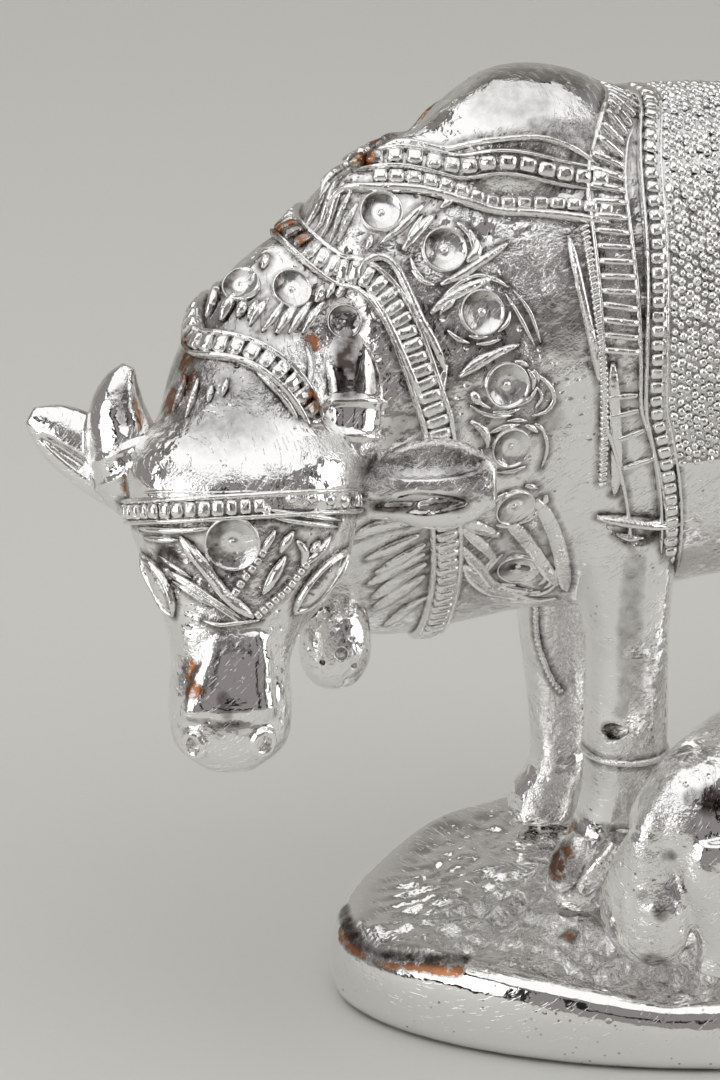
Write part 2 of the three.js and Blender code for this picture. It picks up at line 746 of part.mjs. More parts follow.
calf.rotation.z = CALF_HEADING;

// The plinth: an oval slab with a rounded shoulder and a gently domed top that is level under each foot

function plinthSolid() {
  const SIDES = 40;
  const POINTEDNESS = 8 / 7; // above 1 the oval's ends are narrower than an ellipse's
  const outline = (inset, z) =>
    Array.from({ length: SIDES }, (_, i) => {
      const angle = (2 * Math.PI * i) / SIDES;
      const stretch = (value) => Math.sign(value) * Math.abs(value) ** POINTEDNESS;
      const x = (PLINTH_HALF_LENGTH - inset) * stretch(Math.cos(angle));
      const y = (PLINTH_HALF_WIDTH - inset) * stretch(Math.sin(angle));
      return new THREE.Vector3(x, y, z);
    });
  const rings = [
    outline(1.6, 0),
    outline(0.4, 1.4),
    outline(0, 4.5),
    outline(0.6, 8.2),
    outline(1.6, 9.8),
    outline(3.2, 10.6),
    outline(7, 10.9),
    outline(13, GROUND_Z),
  ];
  return solidOf(skinOf(rings, new THREE.Vector3(0, 0, 0), new THREE.Vector3(0, 0, GROUND_Z)));
}
const plinth = new THREE.Mesh(geometryOf(plinthSolid()), silver());
plinth.name = "plinth";

const figure = new THREE.Group();
figure.add(plinth, cow, calf);

export default figure;
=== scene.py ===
import math
import random

import bpy
import numpy as np
from mathutils import Euler, Matrix, Vector
from mathutils.bvhtree import BVHTree
from mathutils.kdtree import KDTree


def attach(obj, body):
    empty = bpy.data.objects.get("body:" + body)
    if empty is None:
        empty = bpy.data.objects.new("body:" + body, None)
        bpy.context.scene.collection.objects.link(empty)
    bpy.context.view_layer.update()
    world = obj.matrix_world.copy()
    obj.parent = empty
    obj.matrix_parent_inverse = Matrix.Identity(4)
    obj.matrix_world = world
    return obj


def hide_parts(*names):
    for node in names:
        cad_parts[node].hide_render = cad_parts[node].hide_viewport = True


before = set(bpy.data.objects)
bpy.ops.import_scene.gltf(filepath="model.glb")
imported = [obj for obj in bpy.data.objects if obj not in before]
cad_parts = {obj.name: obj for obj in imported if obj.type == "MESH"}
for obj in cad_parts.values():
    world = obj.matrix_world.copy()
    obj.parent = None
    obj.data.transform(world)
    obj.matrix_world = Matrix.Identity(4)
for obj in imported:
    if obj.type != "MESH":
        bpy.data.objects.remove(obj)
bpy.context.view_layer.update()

dice = random.Random(11)

# Camera
# The figure is photographed from a little above its middle and slightly from its head end. The lens is long,
# and the picture cuts off the hindquarters.

aim = Vector((-0.054, 0, 0.057))
turned = math.radians(-18)
raised = math.radians(22)
away = Vector((math.sin(turned) * math.cos(raised), -math.cos(turned) * math.cos(raised), math.sin(raised)))
bpy.ops.object.camera_add(location=aim + away * 0.6)
camera = bpy.context.object
camera.name = "camera"
camera.rotation_euler = away.to_track_quat("Z", "Y").to_euler()
camera.data.lens = 180
camera.data.sensor_width = 36
camera.data.clip_start = 0.01
bpy.context.scene.camera = camera

# Table and light
# Pale matt paper lies under the figure, and another sheet stands behind it. Soft boxes hang over it and at
# both sides. Black boards stand before it, because bright plating needs something dark to mirror.

bpy.ops.mesh.primitive_plane_add(size=9, location=(0, 0, 0))
paper = bpy.context.object
paper.name = "paper table"
bpy.ops.mesh.primitive_plane_add(size=2.6, location=(0, 1.1, 1.3), rotation=(math.radians(90), 0, 0))
paper_behind = bpy.context.object
paper_behind.name = "paper behind the table"
paper_behind.visible_camera = False


def matt(name, first_tone, second_tone, fibres, roughness, shine):
    """A matt surface whose fine fibres lie between two tones."""
    look = bpy.data.materials.new(name)
    look.use_nodes = True
    nodes = look.node_tree.nodes
    links = look.node_tree.links
    place = nodes.new("ShaderNodeTexCoord")
    fibre = nodes.new("ShaderNodeTexNoise")
    fibre.inputs["Scale"].default_value = fibres
    fibre.inputs["Detail"].default_value = 3
    tone = nodes.new("ShaderNodeValToRGB")
    tone.color_ramp.elements[0].color = (*first_tone, 1)
    tone.color_ramp.elements[1].color = (*second_tone, 1)
    shader = nodes["Principled BSDF"]
    shader.inputs["Roughness"].default_value = roughness
    shader.inputs["Specular IOR Level"].default_value = shine
    links.new(place.outputs["Object"], fibre.inputs["Vector"])
    links.new(fibre.outputs["Fac"], tone.inputs["Fac"])
    links.new(tone.outputs["Color"], shader.inputs["Base Color"])
    return look


matt_paper = matt("matt paper", (0.76, 0.755, 0.715), (0.745, 0.74, 0.705), 900, 0.7, 0.2)
paper.data.materials.append(matt_paper)
paper_behind.data.materials.append(matt_paper)
black_cloth = matt("black cloth", (0.006, 0.005, 0.005), (0.014, 0.012, 0.012), 400, 0.9, 0.5)


def black_board(name, place, rotation, width, height):
    bpy.ops.mesh.primitive_plane_add(size=1, location=place)
    board = bpy.context.object
    board.name = name
    board.scale = (width, height, 1)
    board.rotation_euler = rotation
    board.data.materials.append(black_cloth)
    board.visible_camera = False


def soft_box(name, place, width, height, power):
    """A lit screen with black edges, which give the bright metal its dark outlines."""
    bpy.ops.object.light_add(type="AREA", location=place)
    box = bpy.context.object
    box.name = name
    away_from_figure = (Vector(place) - aim).normalized()
    box.rotation_euler = away_from_figure.to_track_quat("Z", "Y").to_euler()
    box.data.shape = "RECTANGLE"
    box.data.size = width
    box.data.size_y = height
    box.data.energy = power
    edge = 0.14
    back = Vector(place) + away_from_figure * 0.02
    black_board(name + " edges", back, box.rotation_euler, width + edge, height + edge)


soft_box("light overhead", (-0.1, -0.05, 0.8), 1.3, 1.25, 5.5)
soft_box("light left", (-0.85, -0.3, 0.35), 0.7, 0.6, 2.6)
soft_box("light right", (0.8, -0.45, 0.4), 0.6, 0.7, 2.6)

for name, place, tipped, swung, width, height in (
    ("flag by the camera", (-0.43, -0.9, 0.2), 80, -20, 0.3, 0.06),
    ("flag before the figure", (0.03, -0.95, 0.42), 70, 6, 0.1, 0.5),
    ("flag left", (-0.56, -0.8, 0.4), 70, -34, 0.08, 0.5),
    ("flag right", (0.5, -0.85, 0.4), 70, 34, 0.09, 0.5),
):
    black_board(name, place, (math.radians(tipped), 0, math.radians(swung)), width, height)

world = bpy.context.scene.world or bpy.data.worlds.new("room")
bpy.context.scene.world = world
world.use_nodes = True
room_light = world.node_tree.nodes["Background"]
room_light.inputs["Color"].default_value = (0.98, 0.92, 0.91, 1)
room_light.inputs["Strength"].default_value = 0.27
bpy.context.scene.view_settings.view_transform = "Standard"

# Silver plating
# A thin plating of silver over a copper-coloured casting. It follows the rough skin that the mould left,
# bright as a mirror, darkened with painted shade in the hollows and worn through to the copper at exposed
# edges.


def group_of(name, amounts, values_out, colours_out=()):
    """A shared group that is given a place and some amounts."""
    group = bpy.data.node_groups.new(name, "ShaderNodeTree")
    group.interface.new_socket("Place", in_out="INPUT", socket_type="NodeSocketVector")
    for label in amounts:
        group.interface.new_socket(label, in_out="INPUT", socket_type="NodeSocketFloat")
    for label in colours_out:
        group.interface.new_socket(label, in_out="OUTPUT", socket_type="NodeSocketColor")
    for label in values_out:
        group.interface.new_socket(label, in_out="OUTPUT", socket_type="NodeSocketFloat")
    return group, group.nodes.new("NodeGroupInput"), group.nodes.new("NodeGroupOutput")


def noise(tree, vector, scale, detail=3.0, roughness=0.55):
    node = tree.nodes.new("ShaderNodeTexNoise")
    node.inputs["Scale"].default_value = scale
    node.inputs["Detail"].default_value = detail
    node.inputs["Roughness"].default_value = roughness
    tree.links.new(vector, node.inputs["Vector"])
    return node.outputs["Fac"]


def fit(tree, value, low, high, out_low=0.0, out_high=1.0):
    node = tree.nodes.new("ShaderNodeMapRange")
    for label, number in (("From Min", low), ("From Max", high), ("To Min", out_low), ("To Max", out_high)):
        node.inputs[label].default_value = number
    tree.links.new(value, node.inputs["Value"])
    return node.outputs["Result"]


def cells(tree, vector, scale):
    """How far each spot is from the middle of its cell."""
    node = tree.nodes.new("ShaderNodeTexVoronoi")
    node.inputs["Scale"].default_value = scale
    tree.links.new(vector, node.inputs["Vector"])
    return node.outputs["Distance"]


def combine(tree, how, first, *others):
    """Values and sockets taken together one after the other."""
    for other in others:
        node = tree.nodes.new("ShaderNodeMath")
        node.operation = how
        for socket, part in zip(node.inputs, (first, other)):
            if isinstance(part, (int, float)):
                socket.default_value = part
            else:
                tree.links.new(part, socket)
        first = node.outputs[0]
    return first


def plus(tree, *parts):
    return combine(tree, "ADD", *parts)


def times(tree, *parts):
    return combine(tree, "MULTIPLY", *parts)


def minus(tree, *parts):
    return combine(tree, "SUBTRACT", *parts)


def blend(tree, share, first, second):
    """A colour between two, which are sockets or red, green and blue."""
    node = tree.nodes.new("ShaderNodeMix")
    node.data_type = "RGBA"
    tree.links.new(share, node.inputs["Factor"])
    for label, colour in (("A", first), ("B", second)):
        if isinstance(colour, tuple):
            node.inputs[label].default_value = (*colour, 1)
        else:
            tree.links.new(colour, node.inputs[label])
    return node.outputs["Result"]


def make_cast_skin():
    """The skin that the mould left: swells, lumps, sandy grain, pits and fine scratches."""
    group, given, found = group_of("cast skin", ("Coarse", "Gritty", "Polished"), ("Height", "Dull"))
    place = given.outputs["Place"]
    swell = noise(group, place, 250, 2)
    lumps = noise(group, place, 800, 2, 0.45)
    pits = fit(group, cells(group, place, 520), 0.08, 0.2, -1.0, 0.0)
    sandy_patches = fit(group, noise(group, place, 210, 4), 0.5, 0.6, 0.1, 1.0)
    sand = times(group, noise(group, place, 3400, 2, 0.6), sandy_patches, given.outputs["Coarse"])
    grit = times(group, noise(group, place, 1500, 3, 0.6), given.outputs["Gritty"], 4.0)
    rough = plus(group, sand, grit)
    drawn_thin = group.nodes.new("ShaderNodeMapping")
    drawn_thin.vector_type = "TEXTURE"
    drawn_thin.inputs["Scale"].default_value = (0.0022, 0.0022, 0.00013)
    drawn_thin.inputs["Rotation"].default_value = (0.5, -0.75, 0)
    group.links.new(place, drawn_thin.inputs["Vector"])
    scratches = fit(group, noise(group, drawn_thin.outputs["Vector"], 1, 2), 0.62, 0.68)
    depths = ((swell, 1.7), (rough, 0.42), (lumps, 0.55), (pits, 0.35), (scratches, -0.2))
    height = plus(group, *(times(group, part, depth) for part, depth in depths))
    unpolished = minus(group, 1.0, times(group, given.outputs["Polished"], 0.9))
    group.links.new(times(group, height, unpolished), found.inputs["Height"])
    dull = plus(group, times(group, rough, 0.1), times(group, scratches, 0.02), 0.05)
    group.links.new(dull, found.inputs["Dull"])
    return group


def make_worn_and_shaded_plating():
    """Silver, darkened with painted shade where the shade mark lies, and worn through to the copper at the
    edges.
    """
    silver_colour = (0.9, 0.893, 0.88)
    copper_colour = (0.36, 0.16, 0.08)
    shade_and_wear_colour = (0.075, 0.06, 0.055)
    group, given, found = group_of("worn through and painted shade", ("Rubbed", "Painted_shade"), ("Bare",), ("Metal",))
    place = given.outputs["Place"]
    edge_of_wear = plus(group, given.outputs["Rubbed"], noise(group, place, 700, 6, 0.7), -1.0)
    bare = fit(group, edge_of_wear, -0.03, 0.05)
    blotched = plus(group, noise(group, place, 700, 3), 0.45)
    # Painted shade: the shade mark, blotched by noise, darkens the metal to near black.
    shade_in_hollows = fit(group, times(group, given.outputs["Painted_shade"], blotched), 0.25, 0.9)
    specks = fit(group, cells(group, place, 750), 0.06, 0.16, 1.0, 0.0)
    specks = times(group, specks, fit(group, noise(group, place, 230, 3), 0.5, 0.62, 0.0, 0.85))
    scorched = times(group, fit(group, edge_of_wear, -0.22, -0.02, 0.0, 0.75), minus(group, 1.0, bare))
    black = combine(group, "MAXIMUM", shade_in_hollows, specks, scorched)
    metal = blend(group, black, blend(group, bare, silver_colour, copper_colour), shade_and_wear_colour)
    group.links.new(metal, found.inputs["Metal"])
    group.links.new(bare, found.inputs["Bare"])
    return group


cast_skin = make_cast_skin()
worn_and_shaded_plating = make_worn_and_shaded_plating()


def silver(name, coarse=0.5, relief=0.0003, dulled=0.0):
    """Plated metal; coarse is how sandy the casting is, dulled how tarnished."""
    look = bpy.data.materials.new(name)
    look.use_nodes = True
    tree = look.node_tree
    place = tree.nodes.new("ShaderNodeTexCoord")
    skin = tree.nodes.new("ShaderNodeGroup")
    skin.node_tree = cast_skin
    skin.inputs["Coarse"].default_value = coarse
    wear_and_shade = tree.nodes.new("ShaderNodeGroup")
    wear_and_shade.node_tree = worn_and_shaded_plating
    for group in (skin, wear_and_shade):
        tree.links.new(place.outputs["Object"], group.inputs["Place"])
    for mark_name, group in (("polished", skin), ("gritty", skin), ("rubbed", wear_and_shade), ("painted_shade", wear_and_shade)):
        painted = tree.nodes.new("ShaderNodeAttribute")
        painted.attribute_name = mark_name
        tree.links.new(painted.outputs["Fac"], group.inputs[mark_name.capitalize()])
    bump = tree.nodes.new("ShaderNodeBump")
    bump.inputs["Distance"].default_value = relief
    tree.links.new(skin.outputs["Height"], bump.inputs["Height"])
    shader = tree.nodes["Principled BSDF"]
    shader.inputs["Metallic"].default_value = 1
    dullness = plus(tree, skin.outputs["Dull"], times(tree, wear_and_shade.outputs["Bare"], 0.25), dulled)
    tree.links.new(wear_and_shade.outputs["Metal"], shader.inputs["Base Color"])
    tree.links.new(dullness, shader.inputs["Roughness"])
    tree.links.new(bump.outputs["Normal"], shader.inputs["Normal"])
    return look


plated_cow = silver("silver, cow", 0.9)
plated_ornament = silver("silver, ornament", 0.8, 0.0002)
plated_dish = silver("silver, dished cups", 0.8, 0.00012, 0.12)
plated_plinth = silver("silver, plinth", 0.3, 0.0002)

# Cow
# The cow is a one-piece casting. She stands square, her head low and turned to the viewer, with a high hump,
# a hanging brisket and a slender tail. Modelled in millimetres with her middle plane at y = 0.

coarser = 1
skin_mesh = 0.62 * coarser


def coordinates(piece):
    flat = np.empty(len(piece.data.vertices) * 3)
    piece.data.vertices.foreach_get("co", flat)
    return flat.reshape(-1, 3)


def place_vertices(piece, points):
    piece.data.vertices.foreach_set("co", np.asarray(points, dtype=float).ravel())
    piece.data.update()


def mark(piece, name, values):
    """Paint a value on each vertex, for the metal's finish to read."""
    layer = piece.data.attributes.get(name) or piece.data.attributes.new(name, "FLOAT", "POINT")
    layer.data.foreach_set("value", np.asarray(values, dtype=np.float32))


def between(values, t):
    """A smooth curve through rows of values, read at t counted in rows."""
    values = np.asarray(values, dtype=float)
    last = len(values) - 1
    i = np.minimum(np.floor(t).astype(int), last - 1)
    f = (np.asarray(t, dtype=float) - i)[:, None]
    before, here, there, after = (values[np.clip(i + k, 0, last)] for k in (-1, 0, 1, 2))
    slope_here = (there - before) / 2
    slope_there = (after - here) / 2
    rise = there - here
    bend = slope_here + slope_there - 2 * rise
    return here + f * (slope_here + f * (3 * rise - 2 * slope_here - slope_there + f * bend))


def unit(vectors):
    return vectors / np.maximum(np.linalg.norm(vectors, axis=-1, keepdims=True), 1e-9)


def drawn_out(
    name,
    stations,
    top=(0, 0, 1),
    along=None,
    sides=32,
    fine=6,
    square=2.0,
    peak=0.0,
    keel=0.0,
    shaded_foot=False,
):
    """A ball drawn out through stations: x, y, z, half width, reach up and, where it differs, down."""
    stations = np.array([(*s, *([s[-1]] * (6 - len(s)))) for s in stations], dtype=float)
    last = len(stations) - 1
    rows = last * fine + 1
    bpy.ops.mesh.primitive_uv_sphere_add(segments=sides, ring_count=rows + 1)
    form = bpy.context.object
    form.name = name
    ball = coordinates(form)
    turn = np.arctan2(ball[:, 1], ball[:, 0])
    row = np.rint(np.arccos(np.clip(ball[:, 2], -1, 1)) / math.pi * (rows + 1))
    t = np.clip((row - 1) / fine, 0, last)
    pole = (row < 1) | (row > rows)
    here = between(stations, t)
    if along is None:
        ahead = between(stations, np.minimum(t + 0.2, last))
        behind = between(stations, np.maximum(t - 0.2, 0))
        tangent = unit((ahead - behind)[:, :3])
    else:
        tangent = np.tile(np.array(along, dtype=float), (len(t), 1))
    tops = np.asarray(top, dtype=float)
    upright = np.tile(tops, (len(t), 1)) if tops.ndim == 1 else between(tops, t)
    side = unit(np.cross(tangent, upright))
    upward = np.cross(side, tangent)
    power = 2 / square
    c = np.sign(np.cos(turn)) * np.abs(np.cos(turn)) ** power
    s = np.sign(np.sin(turn)) * np.abs(np.sin(turn)) ** power
    narrowing = 1 - np.where(s > 0, peak, keel) * s * s
    across = np.where(pole, 0, here[:, 3] * c * narrowing)
    reach = np.where(pole, 0, np.where(s > 0, here[:, 4], here[:, 5]) * s)
    place_vertices(form, here[:, :3] + side * across[:, None] + upward * reach[:, None])
    # Painted shade along the underside, where the form meets the skin.
    if shaded_foot:
        mark(form, "painted_shade", np.clip(0.75 - 1.3 * s, 0, 1))
    return form


def only(*pieces):
    """Select just these pieces, the first one as the active one."""
    if bpy.context.mode != "OBJECT":
        bpy.ops.object.mode_set(mode="OBJECT")
    bpy.ops.object.select_all(action="DESELECT")
    for piece in pieces:
        piece.select_set(True)
    bpy.context.view_layer.objects.active = pieces[0]


def join(name, parts):
    only(*parts)
    if len(parts) > 1:
        bpy.ops.object.join()
    whole = bpy.context.object
    whole.name = name
    return whole


def apply(piece, modifier):
    only(piece)
    bpy.ops.object.modifier_apply(modifier=modifier.name)


def fuse(name, parts, voxel, passes):
    """Melt parts into one closed skin and soften it."""
    whole = join(name, parts)
    melt = whole.modifiers.new("melted together", "REMESH")
    melt.mode = "VOXEL"
    melt.voxel_size = voxel
    apply(whole, melt)
    soften = whole.modifiers.new("softened", "SMOOTH")
    soften.factor = 0.5
    soften.iterations = passes
    apply(whole, soften)
    return whole


barrel_stations = [
    (x, 0, (top + bottom) / 2, wide, (top - bottom) / 2)
    for x, wide, top, bottom in (
        (-45, 6, 89, 56),
        (-41, 13, 99, 48),
        (-34, 16.5, 103.2, 45),
        (-24, 18.2, 104, 45.8),
        (-10, 18.5, 103, 47),
        (8, 19, 102, 46),
        (22, 18.5, 102.5, 48),
        (34, 17, 102, 53),
        (42, 13, 98, 60),
        (47, 7.5, 91, 70),
        (48.5, 2.5, 84, 77),
    )
]
neck_stations = [
    (-30, 0, 73, 16, 29, 28),
    (-42, -0.5, 72.5, 16.5, 30.5, 28.5),
    (-51, -1.5, 72, 15.5, 29, 28),
    (-60, -3, 72.5, 13.5, 25.2, 24),
    (-65.2, -5, 73.5, 11.6, 19.2, 17),
    (-68.2, -7.2, 73, 9.8, 14, 10),
    (-70.2, -9.8, 71.5, 7, 9.5, 6),
    (-71.8, -13.4, 70, 2.6, 3.5, 3),
]
hump_stations = [
    (-45.5, 0, 98.5, 3, 3.5, 5),
    (-42, 0, 99, 7, 6.4, 5),
    (-37.5, 0, 99, 9.5, 9.2, 5),
    (-32, 0, 99, 10, 9.6, 5),
    (-27.5, 0, 99, 8.5, 8.1, 5),
    (-24.5, 0, 98, 4, 4.5, 4),
]


def leg(name, y, stations):
    """Stations are x, z, the leg's reach forward and back, its half width and how far it leans out."""
    outward = math.copysign(1, y)
    placed = [(x, y + outward * lean, z, wide, fore, aft) for x, z, fore, aft, wide, lean in stations]
    return drawn_out(name, placed, top=(-1, 0, 0), along=(0, 0, 1), sides=28, square=2.3)


stand = 11.8
near_foreleg = [
    (-28.2, stand, 5.2, 3.8, 4.2, 0),
    (-27.8, 15.5, 5.3, 4, 4.1, 0),
    (-26.2, 19, 4.9, 4.3, 4.1, 0),
    (-24.9, 25, 4.3, 4.4, 4.3, 0),
    (-24.4, 31, 4.7, 4.7, 4.7, 0),
    (-24.4, 42, 4.6, 4.7, 4.6, 0),
    (-24.8, 50, 5.4, 5.4, 5, 0),
    (-26, 62, 8, 8, 5.5, 0),
]
far_foreleg = [
    (-26, stand, 4.2, 3.6, 3.8, 0),
    (-25.6, 15.5, 4.1, 3.6, 3.7, 0),
    (-24, 19, 3.4, 3.6, 3.4, 0),
    (-24, 25, 3.5, 3.6, 3.5, 0),
    (-24.4, 33, 4.1, 4, 4, 0),
    (-25, 42, 4.6, 4.4, 4.4, 0),
    (-25.6, 50, 5.4, 5.2, 4.8, 0),
    (-26, 62, 7, 7, 5, 0),
]


def hind_leg(lean):
    return [
        (34 + lean, stand, 4.6, 3.8, 4, 0),
        (34.5 + lean, 15.5, 4.3, 4, 3.9, 0),
        (36.5 + lean, 19.5, 3.8, 3.6, 3.5, 0),
        (38 + lean, 26, 3.8, 3.8, 3.6, 0),
        (39.5 + lean * 0.7, 33, 4.8, 4.6, 4.1, 0),
        (38 + lean * 0.5, 39, 6, 5, 4.6, 0),
        (35, 47, 9, 7.5, 5.8, 0),
        (33.5, 57, 12, 11, 7, 0),
        (33, 66, 12, 11.5, 7, -1),
        (33, 76, 8, 8, 4, -3),
    ]


def trunk_forms():
    return [
        drawn_out("barrel", barrel_stations, sides=48, square=2.15, peak=0.12),
        drawn_out("neck", neck_stations, sides=48, peak=0.35, keel=0.45),
        drawn_out("hump", hump_stations, sides=32),
    ]


legs = [
    leg("near foreleg", -10.6, near_foreleg),
    leg("far foreleg", 12.2, far_foreleg),
    leg("near hind leg", -10.6, hind_leg(2)),
    leg("far hind leg", 10.6, hind_leg(-2)),
]

tail = drawn_out(
    "tail",
    [
        (38, 0, 97, 3.4),
        (43.5, 0, 95.5, 3),
        (47.6, 0, 90.5, 2.4),
        (49.2, -0.6, 82, 2),
        (48.4, -2.4, 72, 1.8),
        (46.4, -5.2, 62, 1.8),
        (45, -8, 52, 2),
        (44.5, -9.6, 44, 2.7),
        (44.8, -10.2, 36, 3),
        (44.4, -10.4, 29, 1.9),
        (43.8, -10.4, 26, 0.8),
    ],
    top=(0, 1, 0),
    sides=16,
)
udder = drawn_out(
    "udder",
    [(16, 0, 47, 4, 3), (20, 0, 45, 7.5, 4.5), (25, 0, 44.5, 8.5, 6), (29, 0, 46, 5, 4)],
    sides=24,
)
teat_stations = ((41.5, 1.6), (38.5, 1.2), (36.6, 0.9), (36.2, 0.3))
teats = [
    drawn_out("teat", [(x, y, z, wide) for z, wide in teat_stations], top=(1, 0, 0), sides=12)
    for x in (21.4, 26.6)
    for y in (-3.6, 3.6)
]

# The head is modelled upright in its own frame: the face looks along -y, the muzzle points down.
head_place = Matrix.Translation((-69.8, -12, 75.2)) @ (
    Matrix.Rotation(math.radians(-19), 4, "Z")
    @ Matrix.Rotation(math.radians(-2), 4, "Y")
    @ Matrix.Rotation(math.radians(-21), 4, "X")
)
skull_stations = [
    (0, 1, 1.6, 4, 2.5, 4),
    (0, 0.5, -0.2, 9, 5.5, 7),
    (0, 0, -4, 11.8, 9, 8.5),
    (-0.1, 0, -8, 12.3, 10.4, 9),
    (-0.3, 0, -12.5, 11.9, 10, 9),
    (-0.8, -0.5, -16.5, 10.3, 8.8, 8.5),
    (-1.4, -1, -20.5, 7.9, 7.6, 7),
    (-1.8, -1.5, -25, 6.4, 6.6, 5.5),
    (-2, -1.5, -30, 6.7, 6.6, 5.2),
    (-2, -1.3, -34.2, 5.9, 5.8, 4.6),
    (-2, -1, -37, 2.4, 2.2, 2),
]


def skull_form(growth, rest):
    """The skull, its upper stations grown or shrunk by the given factors and the rest by one factor."""
    factors = [*growth, *([rest] * (len(skull_stations) - len(growth)))]
    grown = [(*s[:3], *(size * f for size in s[3:])) for s, f in zip(skull_stations, factors)]
    return drawn_out("skull", grown, top=(0, -1, 0), sides=40, square=2.4)


def poll_form():
    return drawn_out(
        "poll",
        [
            (-60, -3, 80, 5, 5),
            (-63.5, -4.8, 79.5, 7.6, 8),
            (-66.5, -7, 78.2, 9.2, 9),
            (-68.8, -9.6, 75.2, 9.8, 9.2),
            (-70.6, -12.6, 70, 9.4, 8.4),
            (-71.2, -14, 65, 5, 4.5),
        ],
        top=(-0.8, 0, 0.6),
        sides=36,
    )


def rounded_near(piece, centre, reach, passes):
    """Round off the creases within reach of a place."""
    away = np.linalg.norm(coordinates(piece) - np.array(centre), axis=1)
    weights = np.clip(1.8 * (1 - away / reach), 0, 1)
    soft = piece.vertex_groups.new(name="rounded")
    for i in np.nonzero(weights)[0]:
        soft.add([int(i)], float(weights[i]), "REPLACE")
    rounding = piece.modifiers.new("rounded", "SMOOTH")
    rounding.factor = 0.5
    rounding.iterations = passes
    rounding.vertex_group = "rounded"
    apply(piece, rounding)
    piece.vertex_groups.clear()


torso = fuse("torso", [*trunk_forms(), poll_form()], skin_mesh, 16)
trunk_tree = BVHTree.FromObject(torso, bpy.context.evaluated_depsgraph_get())
crown = skull_form((1.12, 1.12, 1.1, 1.02), rest=0.94)
crown.data.transform(head_place)
cow = fuse("cow_body", [torso, *legs, tail, udder, *teats, crown], skin_mesh, 4)
rounded_near(cow, head_place @ Vector((0, 2, 1)), 17, 110)

# Places on the trunk
# The ornament was laid on the body as threads, beads and cups of wax and cast with it. Each runs along a path
# over the skin, given by x and by the angle at which it is seen from the trunk's axis.


def touch(tree, start, outward, reach=80):
    """Where a ray that comes in from outside first meets a skin."""
    hit, normal, _, _ = tree.ray_cast(start + outward * reach, -outward)
    return hit


def surface(tree, axis, step):
    """Gives a function from a place along the axis and an angle to the skin's point and normal there."""

    def at(along, angle, far=False):
        def hit(a, b):
            return touch(tree, *axis(a, 180 - b if far else b))

        middle = hit(along, angle)
        lengthwise = hit(along + step, angle) - hit(along - step, angle)
        crosswise = hit(along, angle + 4) - hit(along, angle - 4)
        normal = lengthwise.cross(crosswise).normalized()
        outward = axis(along, 180 - angle if far else angle)[1]
        return middle, normal if normal.dot(outward) > 0 else -normal

    return at


def trunk_axis(x, angle):
    """A point in the middle of the trunk or neck, and the way out from it at an angle."""
    bend = max(0, (-45 - x) / 30)
    turn = math.radians(angle)
    return Vector((x, -9 * bend * bend, 74)), Vector((0, -math.cos(turn), math.sin(turn)))


on_trunk = surface(trunk_tree, trunk_axis, 1.0)


def calmed(rows, times):
    """Rows of values with small bumps averaged out; the first and the last stay."""
    rows = rows.copy()
    for _ in range(times):
        rows[1:-1] = rows[1:-1] * 0.4 + (rows[:-2] + rows[2:]) * 0.3
    return rows


class Path:
    """A smooth line over a surface through corners, measured in millimetres along it."""

    def __init__(self, at, corners, far=False):
        steps = 10 * (len(corners) - 1) + 1
        spots = between(corners, np.linspace(0, len(corners) - 1, steps))
        self.angles = spots[:, 1]
        found = [at(a, b, far) for a, b in spots]
        self.points = calmed(np.array([p for p, _ in found]), 2)
        self.normals = unit(calmed(np.array([n for _, n in found]), 8))
        gaps = np.linalg.norm(np.diff(self.points, axis=0), axis=1)
        self.lengths = np.concatenate([[0], np.cumsum(gaps)])
        self.length = self.lengths[-1]

    def nearest(self, angle):
        """How far along the path this angle lies."""
        return self.lengths[np.argmin(np.abs(self.angles - angle))]

    def read(self, rows, length):
        return np.array([np.interp(length, self.lengths, rows[:, k]) for k in range(3)])

    def at(self, length, aside=0.0, lift=0.0):
        """The point at this length, its normal and the way forward."""
        length = float(np.clip(length, 0, self.length))
        ahead = self.read(self.points, min(length + 0.6, self.length))
        behind = self.read(self.points, max(length - 0.6, 0))
        normal = unit(self.read(self.normals, length))
        forward = unit(ahead - behind)
        sideways = unit(np.cross(normal, forward))
        return self.read(self.points, length) + sideways * aside + normal * lift, normal, forward

    def spaced(self, pitch, start=0.0, end=None, aside=0.0):
        end = self.length if end is None else end
        count = max(2, round((end - start) / pitch) + 1)
        return [self.at(length, aside) for length in np.linspace(start, end, count)]


def thread(name, path, width, height, aside=0.0, start=0.0, end=None, pitch=1.6):
    """A half-round thread of wax laid along a path, thinner at its tips."""
    sunk = 0.5
    reach = (path.length if end is None else end) - start
    places = path.spaced(min(pitch, reach / 4), start, end, aside)
    count = len(places)
    stations = []
    for i, (point, normal, forward) in enumerate(places):
        from_tip = min(i, count - 1 - i)
        full = 1 if from_tip > 1 else (0.35, 0.8)[from_tip]
        stations.append((*point, width / 2 * full, height * full, sunk))
    tops = [normal for _, normal, _ in places]
    return drawn_out(name, stations, top=tops, sides=10, fine=2, shaded_foot=True)


def stamp(name, shape, places):
    """Copies of one small shape set along forward, sideways and up at each place, as one mesh."""
    base = coordinates(shape)
    faces = [tuple(face.vertices) for face in shape.data.polygons]
    points = []
    all_faces = []
    for point, normal, forward, size in places:
        forward = unit(np.asarray(forward) - np.dot(forward, normal) * np.asarray(normal))
        sideways = np.cross(normal, forward)
        frame_here = np.array([forward, sideways, normal])
        offset = len(points) * len(base)
        points.append(np.asarray(point) + (base * np.asarray(size)) @ frame_here)
        all_faces.extend(tuple(v + offset for v in face) for face in faces)
    mesh = bpy.data.meshes.new(name)
    mesh.from_pydata(np.concatenate(points).tolist(), [], all_faces)
    piece = bpy.data.objects.new(name, mesh)
    bpy.context.collection.objects.link(piece)
    # Painted shade round the foot of each copy, where it meets the skin.
    outside = np.linalg.norm(base[:, :2], axis=1) > 0.35
    mark(piece, "painted_shade", np.tile(np.where(outside, np.clip(0.6 - 2 * base[:, 2], 0, 1), 0), len(places)))
    return piece


